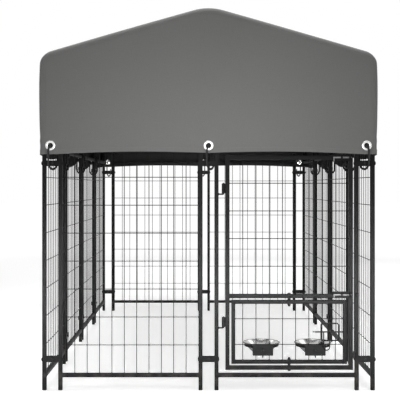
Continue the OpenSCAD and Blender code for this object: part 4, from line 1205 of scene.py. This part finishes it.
class Cover(Form):
    """The cover's sheet: rings across the run, and a gable of rows at each end."""

    def __init__(self):
        super().__init__()
        self.map = self.bm.loops.layers.uv.new("Weave")
        self.at = {}
        r = sizes().gable_edge
        turns = [math.pi / 2 * k / EDGE_STEPS for k in range(EDGE_STEPS, -1, -1)]
        ends = [(-COVER_Y + r * (1 - math.sin(a)), r * (1 - math.cos(a)), a) for a in turns]
        span = COVER_Y - r
        middle = [(-span + 2 * span * k / RUN_STEPS, 0.0, 0.0) for k in range(1, RUN_STEPS)]
        rings = ends + middle + [(-y, d, a) for y, d, a in ends[::-1]]
        self.rings = [self.ring(*ring) for ring in rings]
        for a, b in zip(self.rings, self.rings[1:]):
            for i in range(len(a) - 1):
                self.face([a[i], a[i + 1], b[i + 1], b[i]])
        self.front = self.gable(self.rings[0], 1)
        self.back = self.gable(self.rings[-1], -1)

    def vertex(self, point, uv):
        """Vertex with its place on the cloth."""
        made = self.bm.verts.new(point)
        self.at[made] = uv
        return made

    def face(self, corners):
        """Face that is mapped by its corners' places on the cloth."""
        made = self.bm.faces.new(corners)
        for loop in made.loops:
            loop[self.map].uv = self.at[loop.vert]

    def ring(self, y, depth, turn):
        """Vertices from the left hem over the ridge to the right hem."""
        share = turn / (math.pi / 2)
        hem = side_hem(y) * (1 - share) + front_hem(COVER_X) * share
        half = [Vector((COVER_X - depth, z)) for z in wall_heights(hem)] + top_outline(depth)
        right = half[:-1][::-1]
        outline = [Vector((-p.x, p.y)) for p in half[:-1]] + [Vector((0, half[-1].y))] + right
        length, made = 0.0, []
        for i, p in enumerate(outline):
            length += (p - outline[i - 1]).length if i else 0.0
            made.append(self.vertex((p.x, y, p.y), (length, y)))
        return made

    def gable(self, ring, way):
        """Rows of vertices across an end, from the hem to the ridge."""
        count, columns = len(ring) // 2, GABLE_COLUMNS
        walls = len(wall_heights(HEM_Z))
        rows = []
        for i in range(count):
            left, right = ring[i], ring[-1 - i]
            row = [left]
            for k in range(1, columns):
                x = left.co.x + (right.co.x - left.co.x) * k / columns
                z = wall_heights(front_hem(x))[i] if i < walls else left.co.z
                row.append(self.vertex((x, left.co.y, z), (x, z)))
            rows.append(row + [right])
        for a, b in zip(rows, rows[1:]):
            for k in range(columns):
                self.face([a[k], a[k + 1], b[k + 1], b[k]][::way])
        tip = ring[count]
        for k in range(columns):
            self.face([rows[-1][k], rows[-1][k + 1], tip][::way])
        return rows

    def drape(self):
        """Sinks the roof between the hoops and lays soft folds in the walls."""
        self.bm.normal_update()
        eyes = [s @ Vector((0, FRONT_Y - COVER_Y, EYELET_Z)) for s, _ in eyelet_spots()]
        moves = [(v, v.normal * self.lift(v.co, v.normal, eyes)) for v in self.bm.verts]
        for v, move in moves:
            v.co += move

    def lift(self, p, n, eyes):
        """How far a point of the cover moves out along its normal."""
        roof = min(1.0, max(0.0, (n.z - 0.35) / 0.45))
        near = [k for k in range(2) if ROOF_Y[k] <= p.y <= ROOF_Y[k + 1]]
        sink = 0.0
        if near:
            t = (p.y - ROOF_Y[near[0]]) / (ROOF_Y[near[0] + 1] - ROOF_Y[near[0]])
            sink = math.sin(math.pi * t) * math.sin(math.pi * min(1.0, abs(p.x) / SIDE_X))
        down = min(1.0, max(0.0, (EAVE_MID.y - p.z) / (EAVE_MID.y - HEM_Z)))
        q = p.x if abs(n.y) > abs(n.x) else p.y
        free = math.sin(math.pi * q / BAY) ** 2
        wander = WANDER * noise.noise(p * 2.3)
        fold = math.sin(2 * math.pi * q / FOLD_PITCH + 4 * noise.noise(p * 3.1 + Vector((7, 1, 3))))
        wall = sizes().folds * down * free * (1.1 + 0.35 * fold * down)
        wall += sizes().bulge * abs(n.x) * (0.53 + 0.47 * math.sin(math.pi * (1 - down) ** 2))
        hooked = 1.0
        pull = 0.0
        for eye in eyes:
            gap = p - eye
            d = gap.length
            if d > CREASE_REACH:
                continue
            hooked *= 1 - math.exp(-((d / HELD_R) ** 2))
            across = gap.x if abs(n.y) > abs(n.x) else gap.y
            angle = math.atan2(across, gap.z)
            if abs(angle) < 1.9:
                pull += CREASE * math.exp(-d / CREASE_FADE) * math.cos(7 * angle)
        calm = (1 - roof) * (wall + pull + wander) * hooked
        return calm - roof * (sizes().sag * sink - wander)

    def skirt(self):
        """Columns of the hem's rows, once round the cover from the front left."""
        rows, across = range(HEM_ROWS + 1), range(GABLE_COLUMNS + 1)
        columns = [[self.front[i][k] for i in rows] for k in across]
        columns += [[ring[-1 - i] for i in rows] for ring in self.rings[1:-1]]
        columns += [[self.back[i][k] for i in rows] for k in reversed(across)]
        columns += [[ring[i] for i in rows] for ring in self.rings[-2:0:-1]]
        return [[v.co.copy() for v in column] for column in columns]

    def edges(self):
        """The two lines where the roof turns into a gable."""
        return [[v.co.copy() for v in ring] for ring in (self.rings[0], self.rings[-1])]

    def flat(self):
        """Width and length of the cloth with both gables laid beside the roof, and the cut's area."""
        ring = self.rings[len(self.rings) // 2]
        width = sum((a.co - b.co).length for a, b in zip(ring, ring[1:]))
        ends = [row[0].co for row in self.front] + [ring[len(ring) // 2].co]
        gable = sum(-(a.x + b.x) * (b.z - a.z) for a, b in zip(ends, ends[1:]))
        return width, 2 * (COVER_Y + RIDGE_H - HEM_Z), 2 * (width * COVER_Y + gable)


def around(points, loop):
    """Outward direction, level, at each point of a line round the cover."""
    n = len(points)
    ways = []
    for i in range(n):
        before = points[i - 1] if i or loop else points[i]
        after = points[(i + 1) % n] if i < n - 1 or loop else points[i]
        ways.append((after - before).cross(Vector((0, 0, 1))).normalized())
    return ways


# A stitch: how far along and how thick its rings are, and the corners of a ring
STITCH_RINGS = ((0.0, 0.35), (0.2, 1.0), (0.56, 1.0), (0.76, 0.35))
STITCH_CORNERS = ((0.00045, -0.0002), (0.0003, 0.0005), (-0.0003, 0.0005), (-0.00045, -0.0002))


def stitches(form, line, outs, loop):
    """Row of stitches along a line; outs are the directions away from the cloth."""
    pitch, carry = sizes().stitch, 0.0
    pairs = list(zip(line, line[1:], outs)) + ([(line[-1], line[0], outs[-1])] if loop else [])
    for a, b, out in pairs:
        span = (b - a).length
        if span < 1e-6:
            continue
        along = (b - a) / span
        side = along.cross(out).normalized()
        while carry < span:
            start = a + along * carry
            rings = []
            for d, k in STITCH_RINGS:
                mid = start + along * pitch * d + out * 0.0002 * k
                rings.append([mid + side * u * k + out * v * k for u, v in STITCH_CORNERS])
            form.loft(rings)
            carry += pitch
        carry -= span


class KENNEL_OT_cover(bpy.types.Operator):
    """Adds the fabric cover with its hem, seams and stitches"""

    bl_idname = "kennel.cover"
    bl_label = "Fabric cover"

    def execute(self, context):
        cover = Cover()
        cover.drape()
        skirt, edges = cover.skirt(), cover.edges()
        sheet = self.sheet(cover)
        trims = [self.hem(skirt), self.seams(edges), self.sewing(skirt, edges)]
        return {"FINISHED"}

    def sheet(self, cover):
        """Thickens the sheet and cuts a hole for every eyelet."""
        mesh = cover.mesh("fabric_cover")
        # The inner shell gets the lining, whose near-black colour is painted shade.
        for name in ("cloth", "lining"):
            mesh.materials.append(finish(name))
        obj = as_piece(shown("fabric_cover", mesh), "run", ["cover"])
        thick = obj.modifiers.new("Thickness", "SOLIDIFY")
        thick.thickness = sizes().cloth
        thick.offset = -1
        thick.material_offset = 1
        thick.material_offset_rim = 0
        holes = Form()
        for station, _ in eyelet_spots():
            place = station @ upright(0, FRONT_Y - COVER_Y - 0.02, EYELET_Z)
            place = place @ Matrix.Translation((0, 0, -0.04))
            holes.lathe([(0, 0), (EYELET_CUT_R, 0), (EYELET_CUT_R, 0.06), (0, 0.06)], place, 28)
        obj.data = soften(cut_out(obj, holes), 50)
        obj.modifiers.clear()
        bpy.data.meshes.remove(mesh)
        obj.data.name = "fabric_cover"
        return obj

    def hem(self, skirt):
        """Folded hem on both sides of the lower edge."""
        proud, back = 0.0006, sizes().cloth + 0.0006
        outs = around([c[0] for c in skirt], True)
        low = Vector((0, 0, -0.0007))
        form = Form()
        rings = []
        for column, out in zip(skirt, outs):
            outer = [p + out * proud for p in column]
            inner = [p - out * back for p in column]
            rings.append([outer[0] + low, *outer[1:], *inner[:0:-1], inner[0] + low])
        form.loft(rings, loop=True)
        form.weave(lambda p: (p.x + p.y, p.z))
        piece = form.piece("cover_hem", "cloth", "run", slot="cover_cloth")
        # The hem's inward faces get the lining, whose near-black colour is painted shade.
        piece.data.materials.append(finish("lining"))
        for face in piece.data.polygons:
            mid = face.center
            out = Vector((mid.x, 0, 0)) if abs(mid.x) > COVER_X - 0.03 else Vector((0, mid.y, 0))
            face.material_index = int(abs(face.normal.z) < 0.7 and face.normal.dot(out) < 0)
        return piece

    def seams(self, edges):
        """Flat seam along each gable edge."""
        form = Form()
        for line in edges:
            way = math.copysign(1, line[0].y)
            lifted = [p + Vector((0, way * 0.0002, 0)) for p in line]
            form.sweep(lifted, rounded_rect(SEAM_W, SEAM_T, 0.0004, 1), up=Vector((0, 1, 0)))
        form.weave(lambda p: (p.x, p.z))
        return form.piece("cover_seams", "cloth", "run", slot="cover_cloth")

    def sewing(self, skirt, edges):
        """Stitches of the hem and the seams."""
        form = Form()
        line = [column[2] * 0.65 + column[3] * 0.35 for column in skirt]
        outs = around(line, True)
        stitches(form, [p + o * 0.0006 for p, o in zip(line, outs)], outs, True)
        for edge in edges:
            way = Vector((0, math.copysign(1, edge[0].y), 0))
            stitches(form, [p + way * 0.0007 for p in edge], [way] * len(edge), False)
        return form.piece("cover_stitches", "thread", "run", slot="cover_cloth")


class KENNEL_OT_hooks(bpy.types.Operator):
    """Adds the eyelets of the cover and the hooks that hold it down"""

    bl_idname = "kennel.hooks"
    bl_label = "Eyelets and hooks"

    def execute(self, context):
        mid = COVER_Y - FRONT_Y - 0.001
        rings, hooks = Form(), Form()
        low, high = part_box("cover_hooks")
        oval = [(1.5 * u + HOOK_D / 4, v) for u, v in disc(HOOK_D, 16)]
        slant = math.cos(HOOK_TURN)
        front = (SIDE_X + mid + HOOK_D / 2 - high.x) / slant
        rear = (mid + TUBE / 2 + CLAMP_T + HOOK_ROOM + HOOK_D / 2) / slant
        for station, lean in eyelet_spots():
            rings.lathe(self.ring(), station @ upright(0, -mid, EYELET_Z), 36, closed=True)
            place = station @ Matrix.Translation((0, -mid, 0))
            place = place @ Matrix.Rotation(math.pi / 2 - lean * HOOK_TURN, 4, "Z")
            route = self.hook(front, rear, low.z + HOOK_D / 2, high.z - HOOK_D / 2)
            route = [place @ Vector((u, 0, z)) for u, z in route]
            hooks.sweep(route, oval, up=place.to_3x3() @ Vector((0, 1, 0)), domed=True)
        rings.piece("eyelet_rings", "eyelet_metal", "run", ["eyelets"])
        hooks.piece("cover_hook_wires", "hook_coat", "run", ["cover_hooks"], "roof_paint")
        return {"FINISHED"}

    def ring(self):
        """Profile of a rolled eyelet: domed flange outside, flat washer inside."""
        hole, rim = EYELET_HOLE_R, EYELET_R
        return [(hole, -0.0016), (hole + 0.001, -0.0025), (rim - 0.001, -0.0025), (rim, -0.002),
                (rim, -0.0011), (hole + 0.0014, -0.0011), (hole + 0.0014, 0.0011), (rim - 0.0004, 0.0011),
                (rim, 0.0016), (rim - 0.0006, 0.0024), (rim - 0.0022, 0.0031), (rim - 0.0045, 0.0034),
                (hole + 0.003, 0.0033), (hole + 0.0012, 0.0027), (hole + 0.0003, 0.0015)]

    def hook(self, front, rear, low, high):
        """Route of a hook: through the eyelet, down and under the clamp's straps."""
        r, u0 = (rear - front) / 2, (rear + front) / 2
        bottom, top = low + r, high - r
        turns = [math.pi * k / 18 for k in range(1, 18)]
        route = [(rear, bottom + HOOK_TAIL), (rear, bottom)]
        route += [(u0 + r * math.cos(a), bottom - r * math.sin(a)) for a in turns]
        route += [(front, bottom), (front, top)]
        route += [(u0 - r * math.cos(a), top + r * math.sin(a)) for a in turns]
        return route + [(rear, top), (rear, top - HOOK_RETURN)]


class KENNEL_OT_stage(bpy.types.Operator):
    """Adds the floor, the studio light and the camera"""

    bl_idname = "kennel.stage"
    bl_label = "Stage"

    def execute(self, context):
        scene = context.scene
        scene.view_settings.view_transform = "Standard"
        self.floor()
        self.world(scene)
        self.lamps()
        camera = bpy.data.cameras.new("Camera")
        camera.lens = 85.5
        camera.sensor_width = 36
        camera.shift_x, camera.shift_y = 0.00925, -0.03325
        camera.clip_end = 100
        scene.camera = shown("Camera", camera)
        scene.camera.location = (-0.047, -4.834, 0.7838)
        scene.camera.rotation_euler = (math.pi / 2, 0, 0)
        return {"FINISHED"}

    def seen(self, f):
        """1 for rays that show the stage itself, and 0 for those that only carry its light."""
        path = f.node("LightPath").output.node
        rays = [Socket(f, path.outputs[n]) for n in ("Is Camera Ray", "Is Glossy Ray", "Is Transmission Ray")]
        total = rays[0] + rays[1] + rays[2]
        return f.node("Math", {"operation": "MINIMUM"}, {0: total, 1: 1.0})

    def floor(self):
        """Pale floor that shows near white; its glow is painted light, stronger near the middle, that lifts
        the run's shadow to a faint one.
        """
        form = Form()
        corners = ((-40, -40), (40, -40), (40, 40), (-40, 40))
        form.bm.faces.new([form.bm.verts.new((x, y, 0)) for x, y in corners])
        mesh = form.mesh("floor")
        f = Finish("floor")
        base = colours().floor
        matt = f.node("BsdfDiffuse", inputs={"Color": rgba(base)})
        x, y, _ = f.axes(f.place())
        away = (x * x + y * y).root()
        # Painted light: more glow inside 0.9 m lightens the run's shadow, and less glow out to 2.5 m where
        # the lamps light the floor.
        near = f.mix(away.step(0.9, 2.0), shade(base, 0.72), shade(base, 0.51))
        floor_glow_with_painted_lift = f.node("Emission", inputs={"Color": f.mix(away.step(2.5, 8.0), near, base)})
        bright = f.node("AddShader", inputs={0: matt, 1: floor_glow_with_painted_lift})
        shader = f.node("MixShader", inputs={0: self.seen(f), 1: matt, 2: bright})
        f.node("OutputMaterial", inputs={"Surface": shader})
        mesh.materials.append(f.material)
        shown("floor", mesh)

    def world(self, scene):
        """Low even light, seen as white."""
        f = Finish("Studio", "worlds")
        scene.world = f.material
        seen = self.seen(f)
        light = f.node("Background", inputs={"Color": (1, 1, 1, 1), "Strength": 0.18})
        white = f.node("Background", inputs={"Color": (1, 1, 1, 1), "Strength": 1.0})
        shader = f.node("MixShader", inputs={0: seen, 1: light, 2: white})
        f.node("OutputWorld", inputs={"Surface": shader})

    def lamps(self):
        """Soft boxes: where each stands, its width, height and power, its spread and what it faces."""
        middle = Vector((0, 0, 0.8))
        lamps = (
            ("front", (0.0, -2.03, 0.86), (1.0, 0.4), 5.4, 180, Vector((0.0, -1.18, 0.9))),
            ("low", (0.0, -2.7, 0.34), (2.2, 0.25), 7.3, 36, Vector((0, -1.17, 0.34))),
            ("above", (0.0, -0.35, 4.6), (4.0, 1.9), 145.0, 180, middle),
            ("edge", (0.0, -1.26, 2.6), (1.6, 0.3), 4.5, 180, Vector((0, -1.17, 1.3))),
            ("left", (-4.2, -1.6, 2.4), (2.6, 2.6), 24.0, 180, middle),
            ("right", (4.2, -1.2, 2.4), (2.6, 2.6), 24.0, 180, middle),
            ("back", (0.6, 4.6, 2.4), (2.6, 2.6), 30.0, 180, middle),
        )
        for name, spot, (width, height), power, spread_angle, target in lamps:
            lamp = bpy.data.lights.new(name, "AREA")
            lamp.shape = "RECTANGLE"
            lamp.size, lamp.size_y = width, height
            lamp.energy = power
            lamp.spread = math.radians(spread_angle)
            obj = shown(name, lamp)
            obj.location = spot
            obj.rotation_euler = (target - Vector(spot)).to_track_quat("-Z", "Y").to_euler()
            obj.visible_camera = False


class KENNEL_PT_sidebar(bpy.types.Panel):
    """Lists the pieces of the kennel run"""

    bl_label = "Kennel run"
    bl_idname = "KENNEL_PT_sidebar"
    bl_space_type = "VIEW_3D"
    bl_region_type = "UI"
    bl_category = "Kennel"

    def draw(self, context):
        for group in (sizes(), colours()):
            box = self.layout.box()
            for key in group.__annotations__:
                box.prop(group, key)
        for step in STEPS:
            self.layout.operator(step.bl_idname)


STEPS = (
    KENNEL_OT_panels, KENNEL_OT_wires, KENNEL_OT_plugs, KENNEL_OT_clamps, KENNEL_OT_door,
    KENNEL_OT_latches, KENNEL_OT_feeder, KENNEL_OT_bowls, KENNEL_OT_roof, KENNEL_OT_cover,
    KENNEL_OT_hooks, KENNEL_OT_stage)
CLASSES = (KennelSizes, KennelColours, *STEPS, KENNEL_PT_sidebar)


def register():
    for cls in CLASSES:
        bpy.utils.register_class(cls)
    bpy.types.Scene.kennel_sizes = PointerProperty(type=KennelSizes)
    bpy.types.Scene.kennel_colours = PointerProperty(type=KennelColours)


def unregister():
    del bpy.types.Scene.kennel_colours
    del bpy.types.Scene.kennel_sizes
    for cls in reversed(CLASSES):
        bpy.utils.unregister_class(cls)


def main():
    register()
    for step in STEPS:
        group, name = step.bl_idname.split(".")
        getattr(getattr(bpy.ops, group), name)()


if __name__ == "__main__":
    main()
